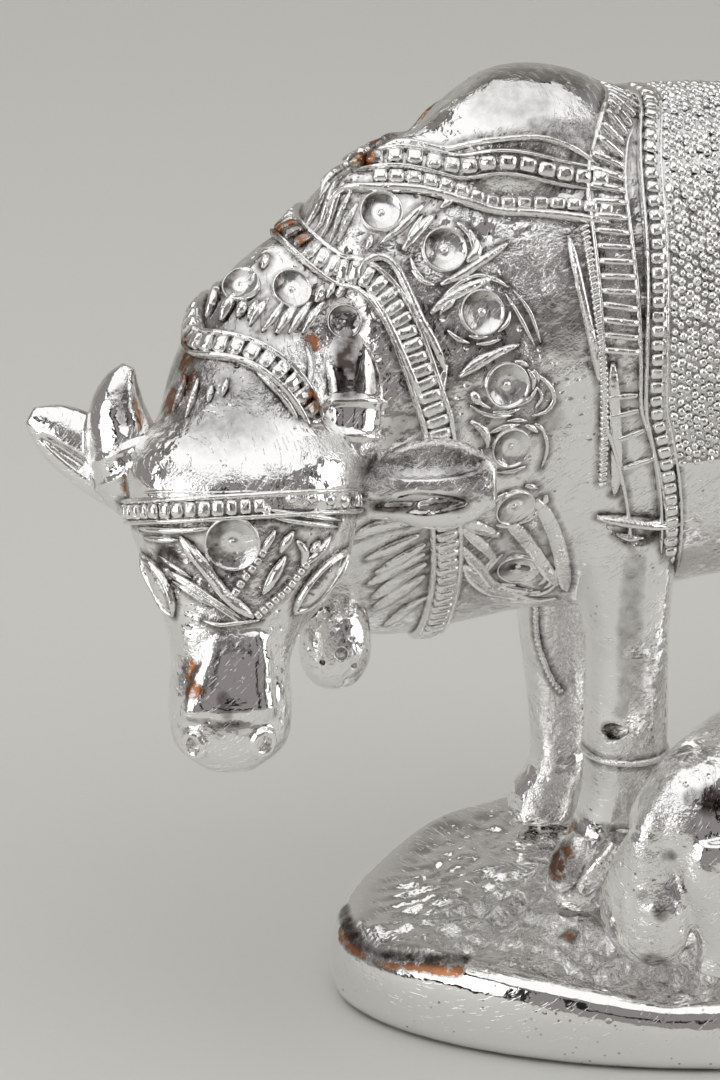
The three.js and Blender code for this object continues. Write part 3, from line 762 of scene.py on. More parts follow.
def pick(piece, wanted):
    """Open a piece for editing with just those faces selected whose middle and normal are wanted."""
    only(piece)
    bpy.ops.object.mode_set(mode="EDIT")
    bpy.ops.mesh.select_mode(type="FACE")
    bpy.ops.mesh.select_all(action="DESELECT")
    bpy.ops.object.mode_set(mode="OBJECT")
    for face in piece.data.polygons:
        face.select = wanted(face.center, face.normal)
    bpy.ops.object.mode_set(mode="EDIT")


def open_below(piece, height):
    """Cut away the faces of a small shape that will be sunk in the skin."""
    pick(piece, lambda middle, normal: middle.z < height and normal.z < -0.5)
    bpy.ops.mesh.delete(type="FACE")
    bpy.ops.object.mode_set(mode="OBJECT")


# Three small shapes are modelled once and set many times: a rounded block, a granule and a dished cup.
bpy.ops.mesh.primitive_cube_add(size=1, location=(0, 0, 0))
block = bpy.context.object
block.name = "rounded block"
only(block)
bpy.ops.object.mode_set(mode="EDIT")
bpy.ops.mesh.select_all(action="SELECT")
bpy.ops.mesh.bevel(offset=0.24, segments=2, affect="EDGES")
bpy.ops.object.mode_set(mode="OBJECT")
open_below(block, -0.3)

bpy.ops.mesh.primitive_uv_sphere_add(segments=7, ring_count=5, radius=0.5)
grain_shape = bpy.context.object
grain_shape.name = "granule"
open_below(grain_shape, -0.2)

bpy.ops.mesh.primitive_cylinder_add(vertices=28, radius=1, depth=1.2, location=(0, 0, -0.3))
dish = bpy.context.object
dish.name = "dished cup"
only(dish)
bpy.ops.object.transform_apply(location=True, rotation=False, scale=False)
pick(dish, lambda middle, normal: normal.z > 0.9)
for inward, rise in (
    (0.03, 0.05),
    (0.03, 0.0),
    (0.02, -0.06),
    (0.1, -0.07),
    (0.14, -0.08),
    (0.18, -0.07),
    (0.2, -0.04),
    (0.15, -0.01),
    (0.02, 0.03),
    (0.03, 0.04),
    (0.03, 0.02),
):
    bpy.ops.mesh.inset(thickness=inward, depth=rise)
bpy.ops.object.mode_set(mode="OBJECT")
open_below(dish, -0.6)

# Collars, straps and girth
# Collars, saddle straps and the girth are bands of beads between thin rails. They were modelled in wax on
# the body and cast with it.

ornament = []


def beads(path, pitch, long, wide, tall, aside=0.0, start=0.0, end=None, turn=0.0, shape=block):
    """Beads along a path, each a little different in size and heading."""
    jitter = 0.08
    places = []
    for point, normal, forward in path.spaced(pitch, start, end, aside):
        sideways = np.cross(normal, forward)
        angle = math.radians(turn + dice.uniform(-5, 5))
        heading = forward * math.cos(angle) + sideways * math.sin(angle)
        grow = 1 + dice.uniform(-jitter, jitter)
        wider = 1 + dice.uniform(-jitter, jitter)
        places.append((point, normal, heading, (long * grow, wide * wider, tall * 2 * grow)))
    return stamp("beads", shape, places)


def swing(angle, amount, power):
    return amount * max(0, math.sin(math.radians(angle))) ** power


def cloth_front(angle):
    """Where the saddle cloth's front edge runs."""
    return -24.6 + swing(angle, 1.9, 2.4) + swing(angle, 3.2, 30) + swing(-angle, 4.4, 1)


def around(along_at, first=-110, last=250, count=33):
    return [(along_at(angle), angle) for angle in np.linspace(first, last, count)]


def rails(path, width, height, *asides, **more):
    return [thread("rail", path, width, height, aside=aside, **more) for aside in asides]


fore_collar = Path(on_trunk, around(lambda a: -63.4 - swing(a, 10.3, 2.2)))
mid_collar = Path(
    on_trunk, around(lambda a: -49 - swing(a, 4.5, 1) - swing(a, 8, 8) + swing(-a, 3.6, 2), count=49)
)
girth = Path(on_trunk, around(lambda a: -28.3 + swing(a, 5.5, 30) + swing(-a, 6, 1), count=61))
cloth_edge = Path(on_trunk, around(cloth_front, count=61))

for collar, width, pitch in ((fore_collar, 2.7, 1.75), (mid_collar, 3.1, 1.45)):
    ornament.extend(rails(collar, 0.75, 0.85, width / 2, -width / 2))
    ornament.append(beads(collar, pitch, pitch * 0.88, width - 0.6, 1.0))

ladder_left = [(-55.4, 57), (-55.0, 53), (-54.2, 47), (-53.1, 36), (-51.9, 23), (-50.8, 11)]
ladder_right = [
    (-55.4, 57), (-55.7, 60), (-55.1, 63), (-54, 63), (-52.7, 61),
    (-51.9, 57), (-51.1, 50), (-50.2, 41), (-49, 32), (-48.1, 22),
]
for corners in (ladder_left, ladder_right):
    ornament.append(thread("ladder rail", Path(on_trunk, corners), 1.1, 1.15, pitch=1.2))
breast_rail = Path(on_trunk, [(-47.4, -39), (-46.3, -54), (-44.3, -72)])
ornament.append(thread("breast rail", breast_rail, 1.7, 0.9))

near_top = girth.nearest(22)
ornament.append(beads(girth, 1.62, 0.75, 4.0, 1.0, turn=-12, start=near_top))
for elevation in (6, -1, -9, -20):
    ornament.append(stamp("stroke", block, [(*girth.at(girth.nearest(elevation)), (0.6, 3.6, 1.1))]))
ornament.extend(rails(girth, 0.5, 0.7, -2.1))
ornament.extend(rails(girth, 0.55, 0.8, 2.1))
ornament.append(beads(cloth_edge, 1.55, 1.3, 1.5, 1.15))
ornament.extend(rails(cloth_edge, 0.5, 1.1, -1.15, 1.15))

fold = Path(on_trunk, [(-33, 56), (-32.2, 40), (-31.2, 22), (-30.8, 12)])
ornament.append(thread("fold", fold, 1.1, 0.8))
rope = Path(on_trunk, [(-31.2, 57), (-30.9, 40), (-30.4, 20), (-30.2, 0), (-30, -27)])
ornament.append(thread("rope core", rope, 0.9, 0.5))
ornament.append(beads(rope, 0.62, 0.5, 1.0, 0.75, turn=20))
band = Path(on_trunk, [(-29.3, 18), (-29, 0), (-28.6, -18), (-28.4, -32)])
ornament.append(thread("plain band", band, 1.5, 0.55))

# The girth's end stands out as a lip over the crease of the near elbow.
elbow = Path(on_trunk, [(-30.2, -39.5), (-27.5, -40), (-24, -41.5), (-20.5, -43)])
ornament.append(thread("elbow lip", elbow, 1.3, 1.5))

# Two beaded straps run side by side over the withers, with a rope above them and a broad rail below.
strap_rope = [(-50.4, 88), (-47.4, 84), (-43.8, 80), (-38.8, 75), (-34.6, 73), (-30.6, 71), (-28.6, 70)]
upper_strap = [
    (-53.2, 88), (-50.7, 84), (-47.2, 80), (-43.7, 77), (-40.3, 73.5),
    (-37.4, 71), (-34.1, 69), (-30.7, 68), (-28.6, 67),
]
lower_strap = [
    (-58, 88), (-54.6, 84), (-49.8, 78), (-46.8, 75), (-43.6, 72),
    (-39.4, 68.5), (-35.4, 65), (-31.3, 62), (-28.6, 60),
]
strap_rail = [(-56.6, 85), (-53.6, 80), (-50.1, 76), (-44.9, 71), (-39.5, 66.5), (-33.6, 61), (-28.3, 57)]
for far in (False, True):
    upper = Path(on_trunk, upper_strap, far)
    lower = Path(on_trunk, lower_strap, far)
    ornament.append(thread("rope", Path(on_trunk, strap_rope, far), 0.8, 0.9))
    ornament.append(beads(upper, 2.05, 1.85, 1.7, 1.15))
    ornament.extend(rails(upper, 0.55, 0.8, 1.25, -1.25))
    ornament.append(beads(lower, 1.8, 1.65, 1.4, 1.1, start=lower.length * 0.25))
    ornament.extend(rails(lower, 0.5, 0.7, -1.1))
    ornament.append(thread("broad rail", Path(on_trunk, strap_rail, far), 1.15, 1.1))

# Mane and folds
# The mane and the folds of the neck are ridges like narrow leaves. They were drawn in wax between the cups
# and the collars and cast with the body, as were the rings and seams of the legs.


def threads(at, lines, width, height, **more):
    """One ridge along each line, each a little different in width."""
    ridges = []
    for line in lines:
        path = Path(at, line)
        ridges.append(thread("ridge", path, width * dice.uniform(0.85, 1.15), height, **more))
    return ridges


nape_fingers = [
    [(-69.7, 100), (-71.1, 92), (-72.2, 91)],
    [(-69.2, 81), (-70.3, 80), (-71.3, 78)],
    [(-68.5, 75), (-69.7, 72)],
    [(-64.8, 85), (-65.9, 81)],
    [(-67.3, 72), (-68.7, 68)],
    [(-66.1, 70), (-67.5, 68), (-68.7, 65)],
    [(-64.5, 66), (-66.1, 62), (-67.5, 59)],
    [(-63.0, 63), (-64.5, 60), (-66.0, 55)],
    [(-61.4, 62), (-63.0, 58), (-64.6, 53)],
    [(-59.8, 60), (-61.6, 56), (-63.0, 51)],
    [(-59.6, 66), (-60.9, 61)],
    [(-58.3, 65), (-59.6, 61)],
    [(-57.2, 62), (-58.5, 60)],
    [(-59.5, 69), (-58.0, 68), (-56.9, 64), (-56.4, 58)],
]
nape_fan = [
    [(-56.5, 89), (-58.9, 88), (-60.2, 86)],
    [(-55.8, 88), (-58.1, 84), (-59.6, 83)],
    [(-55.2, 85), (-57.3, 82), (-58.9, 80)],
    [(-54.6, 82), (-56.6, 79), (-58.0, 77)],
    [(-54.6, 78), (-56.0, 76), (-57.2, 75)],
    [(-53.9, 69), (-54.8, 66)],
    [(-44.3, 71), (-46.2, 69)],
]
neck_leaves = [
    [(-47.7, 71), (-50.3, 68), (-53.3, 66)],
    [(-47.0, 68), (-49.3, 65), (-51.0, 62)],
    [(-39.2, 59), (-42.5, 55), (-44.9, 52), (-47.5, 50)],
    [(-43.0, 61), (-42.8, 58), (-44.3, 55)],
    [(-41.6, 50), (-44.4, 48), (-47.3, 45), (-49.0, 42)],
    [(-46.0, 46), (-47.9, 42)],
    [(-39.5, 28), (-42.1, 26), (-44.7, 22), (-46.5, 19)],
    [(-41.6, 27), (-44.2, 24), (-46.3, 20)],
    [(-45.2, 13), (-44.4, 8)],
    [(-47.8, 24), (-48.6, 17), (-48.6, 9)],
    [(-45.4, 2), (-43.8, -3), (-43.5, -9)],
]
shoulder_lines = [
    [(-38.2, 18), (-36.4, 13), (-35.6, 7), (-36.5, 2), (-38.3, 1)],
    [(-37.7, 12), (-37.1, 8), (-37.9, 4)],
    [(-40.4, 45), (-39.0, 37), (-37.6, 27)],
    [(-39.5, 46), (-37.9, 39), (-36.9, 28)],
    [(-37.3, -3), (-36.4, -12), (-37.0, -21)],
]
brisket_folds = [
    [(-46.0, -40), (-42.3, -51), (-40.6, -58)],
    [(-45.5, -48), (-42.2, -60), (-38.7, -71), (-34.3, -69)],
    [(-44.5, -57), (-39.9, -71), (-34.8, -74), (-32.2, -71)],
    [(-46.6, -36), (-43.4, -42), (-40.8, -47)],
    [(-40.5, -40), (-36.8, -53), (-32.9, -65)],
    [(-37.2, -34), (-34.2, -49), (-31.6, -67)],
    [(-56.1, -54), (-53.0, -47), (-50.4, -42)],
    [(-55.1, -64), (-52.0, -55), (-49.4, -50)],
    [(-53.7, -73), (-51.2, -65), (-48.8, -59)],
    [(-51.5, -79), (-49.4, -71), (-47.6, -68)],
    [(-58.1, -47), (-55.1, -39), (-51.2, -37)],
    [(-54.6, -59), (-51.6, -51), (-49.6, -46)],
    [(-54.2, -69), (-51.6, -60), (-49.0, -54)],
]
neck_front = [
    [(-75.7, 80), (-76.6, 72), (-77.6, 68)],
    [(-74.9, 63), (-75.8, 53), (-76.8, 39)],
    [(-73.9, 49), (-74.6, 40)],
    [(-72.3, 46), (-73.2, 38)],
    [(-68.3, 35), (-66.8, 24), (-65.4, 12)],
    [(-69.3, 41), (-67.7, 30), (-66.1, 20)],
    [(-62.9, 46), (-62.8, 36), (-64.1, 23)],
]
mane = [
    *threads(on_trunk, nape_fingers, 1.15, 0.85),
    *threads(on_trunk, nape_fan, 0.9, 0.6),
    *threads(on_trunk, neck_leaves, 1.2, 0.65),
    *threads(on_trunk, shoulder_lines, 0.55, 0.35),
    *threads(on_trunk, brisket_folds, 1.7, 0.6),
    *threads(on_trunk, neck_front, 0.8, 0.5),
]

# The near foreleg has two raised rings and a pit above them; the far foreleg is seamed by a stitched cord.
cow_tree = BVHTree.FromObject(cow, bpy.context.evaluated_depsgraph_get())


def leg_side(middle_y, reach):
    """Gives a function from x and z to the point and normal on a leg's near side."""

    def hit(x, z):
        return touch(cow_tree, Vector((x, middle_y, z)), Vector((0, -1, 0)), reach)

    def at(x, z, far=False):
        across = hit(x + 0.3, z) - hit(x - 0.3, z)
        upward = hit(x, z + 0.3) - hit(x, z - 0.3)
        normal = across.cross(upward).normalized()
        return hit(x, z), normal if normal.y < 0 else -normal

    return at


def hoop(name, middle, along, radius, thickness, squash=1.0):
    """A round bar bent into a ring that stands square to its way along."""
    bpy.ops.mesh.primitive_torus_add(
        major_segments=40, minor_segments=10, major_radius=radius, minor_radius=thickness
    )
    round_bar = bpy.context.object
    round_bar.name = name
    turn = Vector(along).to_track_quat("Z", "X").to_matrix().to_4x4()
    round_bar.data.transform(Matrix.Translation(middle) @ turn @ Matrix.Diagonal((squash, 1, 1, 1)))
    return round_bar


def cut(piece, tool):
    carve = piece.modifiers.new("cut", "BOOLEAN")
    carve.operation = "DIFFERENCE"
    carve.object = tool
    apply(piece, carve)
    bpy.data.objects.remove(tool)


mane.append(hoop("leg ring", (-24.4, -10.6, 30.3), (0.03, 0, 1), 4.75, 0.42))
mane.append(hoop("leg ring", (-24.8, -10.6, 21.6), (0.2, 0, 1), 4.2, 0.3))
seam_corners = [(-28.2, 42), (-28.1, 39), (-27.8, 36), (-27.1, 33.4), (-26.2, 31), (-25.2, 29.5)]
seam = Path(leg_side(12.2, 9), seam_corners)
mane.append(thread("seam", seam, 0.7, 0.3))
mane.append(beads(seam, 0.6, 0.42, 0.7, 0.4))

leg_pit = [(-29, -13.6, 34.2, 0.4, 0.3), (-27.4, -14.6, 34.2, 1.2, 1.1), (-25.6, -15, 34.4, 0.4, 0.3)]
elbow_hollow = [
    (-29, -15.9, 59.7, 0.4, 0.2),
    (-27, -16.3, 58.9, 1.0, 1.1),
    (-24.5, -16.8, 58.3, 1.5, 1.6),
    (-22, -17, 58.3, 1.1, 1.1),
    (-20.2, -17, 58.5, 0.4, 0.2),
]
hoof_crease = [
    (-33.5, -13.6, 14.4, 0.5, 0.2),
    (-31.5, -15, 14.9, 0.9, 0.5),
    (-28, -15.6, 15.2, 0.9, 0.5),
    (-25, -15, 15.2, 0.5, 0.2),
]
for name, stations, sides in (
    ("pit", leg_pit, 20),
    ("elbow hollow", elbow_hollow, 24),
    ("hoof crease", hoof_crease, 20),
):
    cut(cow, drawn_out(name, stations, sides=sides))

hoof_wall = [
    (-30.7, -14.3, 15, 1, 0.8),
    (-29.7, -14.7, 16.6, 1.5, 1.4),
    (-28.2, -14.9, 19, 1.6, 1.5),
    (-27.2, -14.7, 20.7, 1.1, 0.9),
]
rough_lump = [
    (-32.3, -12, 14.4, 1.3, 1.2),
    (-32, -12.2, 16.4, 2.3, 2),
    (-31, -12.4, 18.8, 2.3, 2),
    (-29.9, -12.4, 20.8, 1.3, 1.2),
]
elbow_fold = [(-28.2, -15, 58.8, 0.3, 0.15), (-26.4, -15.4, 58.1, 0.7, 0.5), (-24.6, -15.6, 57.9, 0.3, 0.15)]
mane.append(drawn_out("hoof wall", hoof_wall, sides=24, square=3.5))
mane.append(drawn_out("rough lump", rough_lump, top=(-1, 0, 0), sides=24))
mane.append(drawn_out("elbow fold", elbow_fold, sides=16))

# Cups
# Round dished cups lie along the shoulder and down the breast like the stones of a necklace. They are cast
# with the body, and short arcs are chased round them. Plain bosses take their place on the far side.

cup_places = [
    (-52.5, 73, 2.35),
    (-46.6, 59, 2.45),
    (-43.4, 40, 2.5),
    (-41.2, 14, 2.55),
    (-40.8, -10, 2.3),
    (-39.7, -35, 2.35),
    (-37.5, -62, 2.4),
]
shallow = 1.1
deep = 1.7
nape_cups = [(-68.5, 82, 2.1, shallow), (-63.3, 69, 2.2, shallow), (-58, 50, 1.9, deep)]


def arcs_round(x, angle, radius):
    """Short chased arcs that lie round a cup."""
    flank_degree = 0.42
    for _ in range(8):
        first = dice.uniform(0, math.tau)
        sweep = dice.uniform(0.25, 0.55)
        reach = radius * dice.uniform(1.25, 1.95)
        turns = [first + k * sweep for k in range(3)]
        yield [(x + reach * math.cos(turn), angle + reach * math.sin(turn) / flank_degree) for turn in turns]


for cup in cup_places[1:]:
    mane.extend(threads(on_trunk, arcs_round(*cup), 0.6, 0.35))


def paint_cup_shade(piece, base):
    """Painted shade round the outside of the cups, and in the bowl a painted reflection that darkens towards
    one side.
    """
    off_centre = np.linalg.norm(base[:, :2], axis=1)
    wall = (off_centre > 0.98) & (base[:, 2] < 0.28)
    bowl = (off_centre > 0.3) & (off_centre < 0.92)
    shaded = 0.5 + 0.4 * np.clip(0.5 * base[:, 1] - base[:, 0], -0.5, 1)
    copies = len(piece.data.vertices) // len(base)
    mark(piece, "painted_shade", np.tile(np.where(wall, 0.95, np.where(bowl, shaded, 0)), copies))


cups_to_set = []
for x, angle, radius, depth in [*((*cup, deep) for cup in cup_places), *nape_cups]:
    point, normal = on_trunk(x, angle)
    cups_to_set.append((point, normal, (1, 0, 0), (radius, radius, depth)))
cups = stamp("cups", dish, cups_to_set)
paint_cup_shade(cups, coordinates(dish))
bosses = []
for x, angle, radius in cup_places:
    point, normal = on_trunk(x, angle, far=True)
    bosses.append((point, normal, (1, 0, 0), (radius * 2, radius * 2, 1.6)))
ornament.append(stamp("bosses", grain_shape, bosses))

# Saddle cloth
# The saddle cloth is a thick sheet over the back, cast with the body and covered all over with small raised
# grains. They were set in wax one by one, so each is tilted and sized a little differently.

cloth_rear = 31.4
grain_rows_end = 53

bpy.ops.mesh.primitive_grid_add(x_subdivisions=40, y_subdivisions=60, size=2)
cloth = bpy.context.object
cloth.name = "saddle_cloth"
placed = []
for x, y, _ in coordinates(cloth):
    front = cloth_front(90 + y * 110) + 0.6
    placed.append(on_trunk(front + (x + 1) / 2 * (cloth_rear - front), 90 + y * 110)[0])
place_vertices(cloth, placed)
thick = cloth.modifiers.new("thickness", "SOLIDIFY")
thick.thickness = 1.6
thick.offset = 0
apply(cloth, thick)
# Painted shade over the whole sheet, which lies in the shade between the grains.
mark(cloth, "painted_shade", np.full(len(cloth.data.vertices), 0.45))


def grain_row(x):
    """A line across the back, x along from the cloth's front edge."""
    fronts = [(cloth_front(angle) + 1.8, angle) for angle in np.linspace(-19, 199, 25)]
    corners = [(front + x * (cloth_rear - 0.4 - front) / grain_rows_end, angle) for front, angle in fronts]
    return Path(on_trunk, corners)


grains = []
pitch = 0.95 * 1
x = 0.0
shifted = 0.0
while x < grain_rows_end:
    row = grain_row(x)
    length = shifted
    while length < row.length:
        over_the_back = length > row.length * 0.62
        point, normal, forward = row.at(length, lift=0.85)
        wobble = np.array([dice.uniform(-0.17, 0.17) for _ in range(3)])
        tilt = np.array([dice.uniform(-0.45, 0.45) for _ in range(3)])
        size = dice.uniform(0.82, 1.32)
        lifted = unit(normal + tilt + np.array((0, 0, 0.9 * (1 - abs(normal[2])))))
        grains.append((point + wobble, lifted, forward, (size, size * dice.uniform(0.8, 1), size * 0.62)))
        length += pitch * (1.35 if over_the_back else 1)
    x += pitch * 0.87
    shifted = pitch / 2 - shifted
cloth_grains = stamp("cloth_grains", grain_shape, grains)
# The grains themselves carry no painted shade.
mark(cloth_grains, "painted_shade", np.zeros(len(cloth_grains.data.vertices)))

# Head
# The head is cast with the body: a broad brow, short stout horns, leaf-shaped ears held out sideways,
# slanting almond eyes and a square muzzle. Its forms melt into one skin, and the finer work stands on it.

left_horn_stations = [
    (-10.6, 2, -8, 3.4),
    (-11.9, 1.5, -5, 4.3),
    (-13, 1.2, -1.6, 4.1),
    (-13.4, 0.8, 2, 3.2),
    (-12.9, 0.4, 4.8, 2.1),
    (-12, 0.2, 6.7, 0.8),
]
right_horn_stations = [
    (9.6, 2.2, -6.5, 3.9),
    (10.7, 2, -2.6, 4.2),
    (11.2, 2.2, 1, 4.4),
    (11.3, 2.8, 5, 4.5),
    (11.2, 3.4, 8, 4),
    (11, 4, 10.2, 2.7),
    (10.9, 4.4, 11, 1.2),
]
left_horn = drawn_out("left horn", left_horn_stations, top=(0, -1, 0), sides=24)
right_horn = drawn_out("right horn", right_horn_stations, top=(0, -1, 0), sides=24)
horn_rings = [
    hoop("ring", (10.9, 2.1, -1.3), (0.1, 0, 1), 4.2, 0.5),
    hoop("ring", (11.2, 2.3, 1.9), (0, 0.1, 1), 4.35, 0.5),
    hoop("ring", (-12, 1.5, -4.6), (-0.5, 0, 1), 4.25, 0.45),
    hoop("ring", (-12.7, 1.3, -2.4), (-0.4, 0, 1), 4.15, 0.35),
]

left_ear_stations = [
    (-10, 3, -7.6, 2.2, 2.8),
    (-13.5, 3, -5.2, 2.2, 3.6),
    (-17, 2.8, -2.3, 2.2, 3.8),
    (-20.5, 2.6, 0.1, 1.8, 3),
    (-23.2, 2.4, 1.6, 0.8, 1.1),
]
left_slit = [(-14, 0.6, -6.8, 0.9, 0.5), (-18, 0.6, -3.5, 1.2, 0.9), (-22, 0.8, -0.6, 0.7, 0.4)]
right_ear_stations = [
    (10, 2.5, -8, 2.2, 2.6),
    (14.8, 2.2, -7.2, 2.3, 3.5),
    (19.2, 1.8, -6.8, 2.4, 4.9),
    (23.6, 1.4, -7, 2.1, 4.6),
    (27.2, 1, -7.2, 1, 2.4),
]
right_hollow = [
    (12.6, 0, -4.9, 0.5, 0.5),
    (16, -0.5, -4.5, 1.3, 1.7),
    (20, -0.7, -4.2, 1.7, 2.2),
    (23.6, -0.5, -4.5, 1.2, 1.6),
    (25.6, 0, -5.2, 0.4, 0.4),
]
right_slit = [(13.2, -0.2, -9.3, 0.5, 0.3), (18.6, -0.6, -9.1, 1.1, 1.4), (24, -0.5, -8.9, 0.6, 0.3)]
ear_lips = [
    [(14, 0.5, -9.3, 0.3, 0.15), (16, 0.5, -9.3, 0.6, 0.55), (18.2, 0.5, -9.2, 0.3, 0.15)],
    [(18.8, 0.5, -9.2, 0.3, 0.15), (21, 0.4, -9, 0.65, 0.6), (23.2, 0.5, -8.9, 0.3, 0.15)],
]
left_ear = drawn_out("left ear", left_ear_stations, sides=28)
cut(left_ear, drawn_out("slit", left_slit, sides=12))
right_ear = drawn_out("right ear", right_ear_stations, sides=28)
cut(right_ear, drawn_out("hollow", right_hollow, sides=24))
cut(right_ear, drawn_out("slit", right_slit, sides=24))
ears = [left_ear, right_ear, *(drawn_out("lip", stations, sides=16) for stations in ear_lips)]

bare_skull = skull_form((0.9, 0.92, 0.96), rest=1)
skull_tree = BVHTree.FromObject(bare_skull, bpy.context.evaluated_depsgraph_get())


def head_axis(z, angle):
    """A point in the middle of the skull, and the way out from it at an angle."""
    turn = math.radians(angle)
    lean = max(-2, 0.14 * (z + 12) - 0.3) if z < -12 else 0
    return Vector((lean, -0.8, z)), Vector((math.sin(turn), -math.cos(turn), 0))


on_skull = surface(skull_tree, head_axis, 0.6)
eyes = []
for side in (-1, 1):
    point, normal = on_skull(-16.8, side * 62 + 1)
    lengthwise = Vector((side * 0.68, 0, 0.73))
    lengthwise = (lengthwise - normal * lengthwise.dot(normal)).normalized()
    spots = [point + lengthwise * reach - normal * 0.1 for reach in (-3.8, -2.6, 0, 2.6, 3.8)]
    sizes = ((0.2, 0.2), (1.0, 0.75), (1.5, 1.1), (1.0, 0.75), (0.2, 0.2))
    stations = [(*spot, *size) for spot, size in zip(spots, sizes)]
    eyes.append(drawn_out("eye", stations, top=tuple(normal), sides=20))

# The bridge of the nose ends in a flat, polished plate.
nose_plate = drawn_out(
    "nose plate",
    [
        (-0.6, -5, -21.6, 2.6, 2.8),
        (-0.9, -5, -22.6, 3.7, 3.4),
        (-1.2, -5, -25, 4.2, 3.45),
        (-1.8, -5, -28.4, 4.9, 3.45),
        (-2, -5, -30.8, 5.2, 3.2),
        (-2, -5, -31.8, 4.6, 2.3),
    ],
    top=(0, -1, 0),
    along=(0, 0, -1),
    sides=48,
    square=3.6,
)
nostril_rims = []
nostril_places = []
for side in (-1, 1):
    point, normal = on_skull(-34, side * 33)
    nostril_places.append((point, normal))
    nostril_rims.append(hoop("nostril rim", point + normal * 0.05, normal, 1.15, 0.4, 1.15))
head_parts = [bare_skull, left_horn, right_horn, *horn_rings, *ears, *eyes, nose_plate, *nostril_rims]
head = fuse("head", head_parts, 0.25 * coarser, 2)
for point, normal in nostril_places:
    stations = [(*(point + normal * reach), wide) for reach, wide in ((-1.3, 0.3), (-0.2, 0.95), (0.9, 0.3))]
    cut(head, drawn_out("nostril", stations, top=(1, 0, 0), sides=16))

brow = Path(on_skull, [(-8.7 + 0.3 * math.sin(math.radians(a)), a) for a in np.linspace(-180, 180, 33)])
brow_left = brow.nearest(-84)
face_work = [
    beads(brow, 1.44, 1.3, 1.6, 1.0, start=brow_left, end=brow.nearest(12)),
    beads(brow, 1.9, 1.5, 1.5, 0.6, end=brow_left - 1.5),
    beads(brow, 1.9, 1.5, 1.5, 0.6, start=brow.nearest(84)),
    *rails(brow, 0.7, 0.9, 1.15, pitch=1.2),
    *rails(brow, 0.6, 0.75, -1.15, pitch=1.2),
]

# Chased leaves and lines on the face, by their width and height.
face_lines = {
    (0.7, 0.65): [
        [(-10.7, -66), (-11.0, -38), (-10.8, -18)],
        [(-11.7, -64), (-11.9, -50), (-12.0, -40)],
        [(-7.0, -64), (-7.0, -37), (-7.3, -15), (-7.2, 15)],
        [(-6.4, 30), (-6.3, 50), (-6.8, 70)],
        [(-9.1, 18), (-9.7, 37), (-10.4, 63)],
        [(-9.9, 21), (-10.5, 37), (-11.1, 61)],
    ],
    (0.55, 0.5): [
        [(-6.4, -58), (-6.2, -40), (-6.6, -22), (-6.4, 4)],
        [(-12.1, -33), (-14.2, -22), (-16.4, -11), (-18.4, 0)],
        [(-15.0, -52), (-16.6, -32), (-18.1, -17), (-20.5, 9)],
        [(-15.6, -48), (-17.2, -30), (-18.8, -14), (-20.9, 8)],
        [(-16.4, -46), (-17.8, -30), (-19.2, -14)],
        [(-13.7, -54), (-14.8, -43), (-16.1, -31)],
        [(-20.6, -22), (-21.2, -8), (-21.0, 8), (-20.8, 24)],
    ],
    (1.3, 0.95): [
        [(-11.6, -38), (-13.8, -28), (-16.0, -16), (-18.1, -4), (-20.5, 19)],
        [(-14.0, 33), (-15.7, 29), (-17.0, 26), (-18.0, 23)],
        [(-8.9, 13), (-9.2, 20)],
    ],
    (1.0, 0.8): [
        [(-11.2, 22), (-12.6, 20), (-13.9, 18)],
        [(-11.4, 33), (-12.6, 31), (-13.7, 29)],
        [(-12.4, 37), (-13.7, 44), (-15.2, 44)],
        [(-12.0, 57), (-13.7, 52), (-15.2, 45)],
        [(-12.5, 51), (-13.7, 47)],
    ],
}
for (width, height), lines in face_lines.items():
    face_work.extend(threads(on_skull, lines, width, height, pitch=1.0))
right_beads = Path(on_skull, [(-15.0, 46), (-17.1, 40), (-18.5, 33), (-20.2, 22)])
face_work.append(beads(right_beads, 0.85, 0.75, 0.85, 0.7))
small_chain = Path(on_skull, [(-13.6, 18), (-15.2, 13), (-16.3, 8), (-17.7, 3)])
face_work.append(beads(small_chain, 1.0, 0.8, 0.8, 0.6))
temple = Path(on_skull, [(-7.9, 32), (-7.9, 43), (-8.2, 56), (-8.4, 66)])
face_work.append(beads(temple, 2.2, 1.7, 1.7, 0.8, shape=grain_shape))
upper_lid = [(-20.2, 50), (-18.6, 48), (-16.6, 52), (-14.6, 61), (-13.4, 77)]
lower_lid = [(-20.2, 50), (-19.4, 59), (-17.4, 69), (-13.8, 79)]
for side in (1, -1):
    lids = [[(z, 1 + side * angle) for z, angle in lid] for lid in (upper_lid, lower_lid)]
    face_work.extend(threads(on_skull, lids, 0.75, 0.9, pitch=1.0))
point, normal = on_skull(-12.5, -3)
brow_cup = stamp("brow_cup", dish, [(point, normal, (1, 0, 0), (3, 3, 1.5))])
paint_cup_shade(brow_cup, coordinates(dish))

# Bell
# A small closed bell hangs from the throat. It is a rough casting, and its front is pitted.

bell = drawn_out(
    "bell",
    [
        (-56.6, -4, 53, 2.2),
        (-57.2, -6, 50.8, 3.1),
        (-57.8, -7.6, 48.4, 3.8),
        (-58.2, -8.4, 46, 4.05),
        (-58.5, -8.8, 43.8, 3.5),
        (-58.6, -8.8, 42.4, 2.3),
        (-58.6, -8.8, 41.8, 0.8),
    ],
    top=(-1, 0, 0),
    sides=40,
)
bell = fuse("bell", [bell], 0.3 * coarser, 2)
bell_front = Vector((-0.29, -0.95, 0.1))
bell_pits = [
    (0.6, 46.6, 0.75), (-1.5, 45.6, 0.35), (2.1, 45, 0.4),
    (-0.4, 48.8, 0.45), (1.7, 48.2, 0.3), (-2.2, 47.8, 0.3),
]
for aside, height, size in bell_pits:
    spot = Vector((-58.1, -8.3, height)) + bell_front * 3.9 + Vector((0.95, -0.29, 0)) * aside
    swell = ((-1.2, 0.3), (0, 1), (1.2, 0.3))
    stations = [(*(spot + bell_front * reach), size * full) for reach, full in swell]
    cut(bell, drawn_out("pit", stations, sides=12))

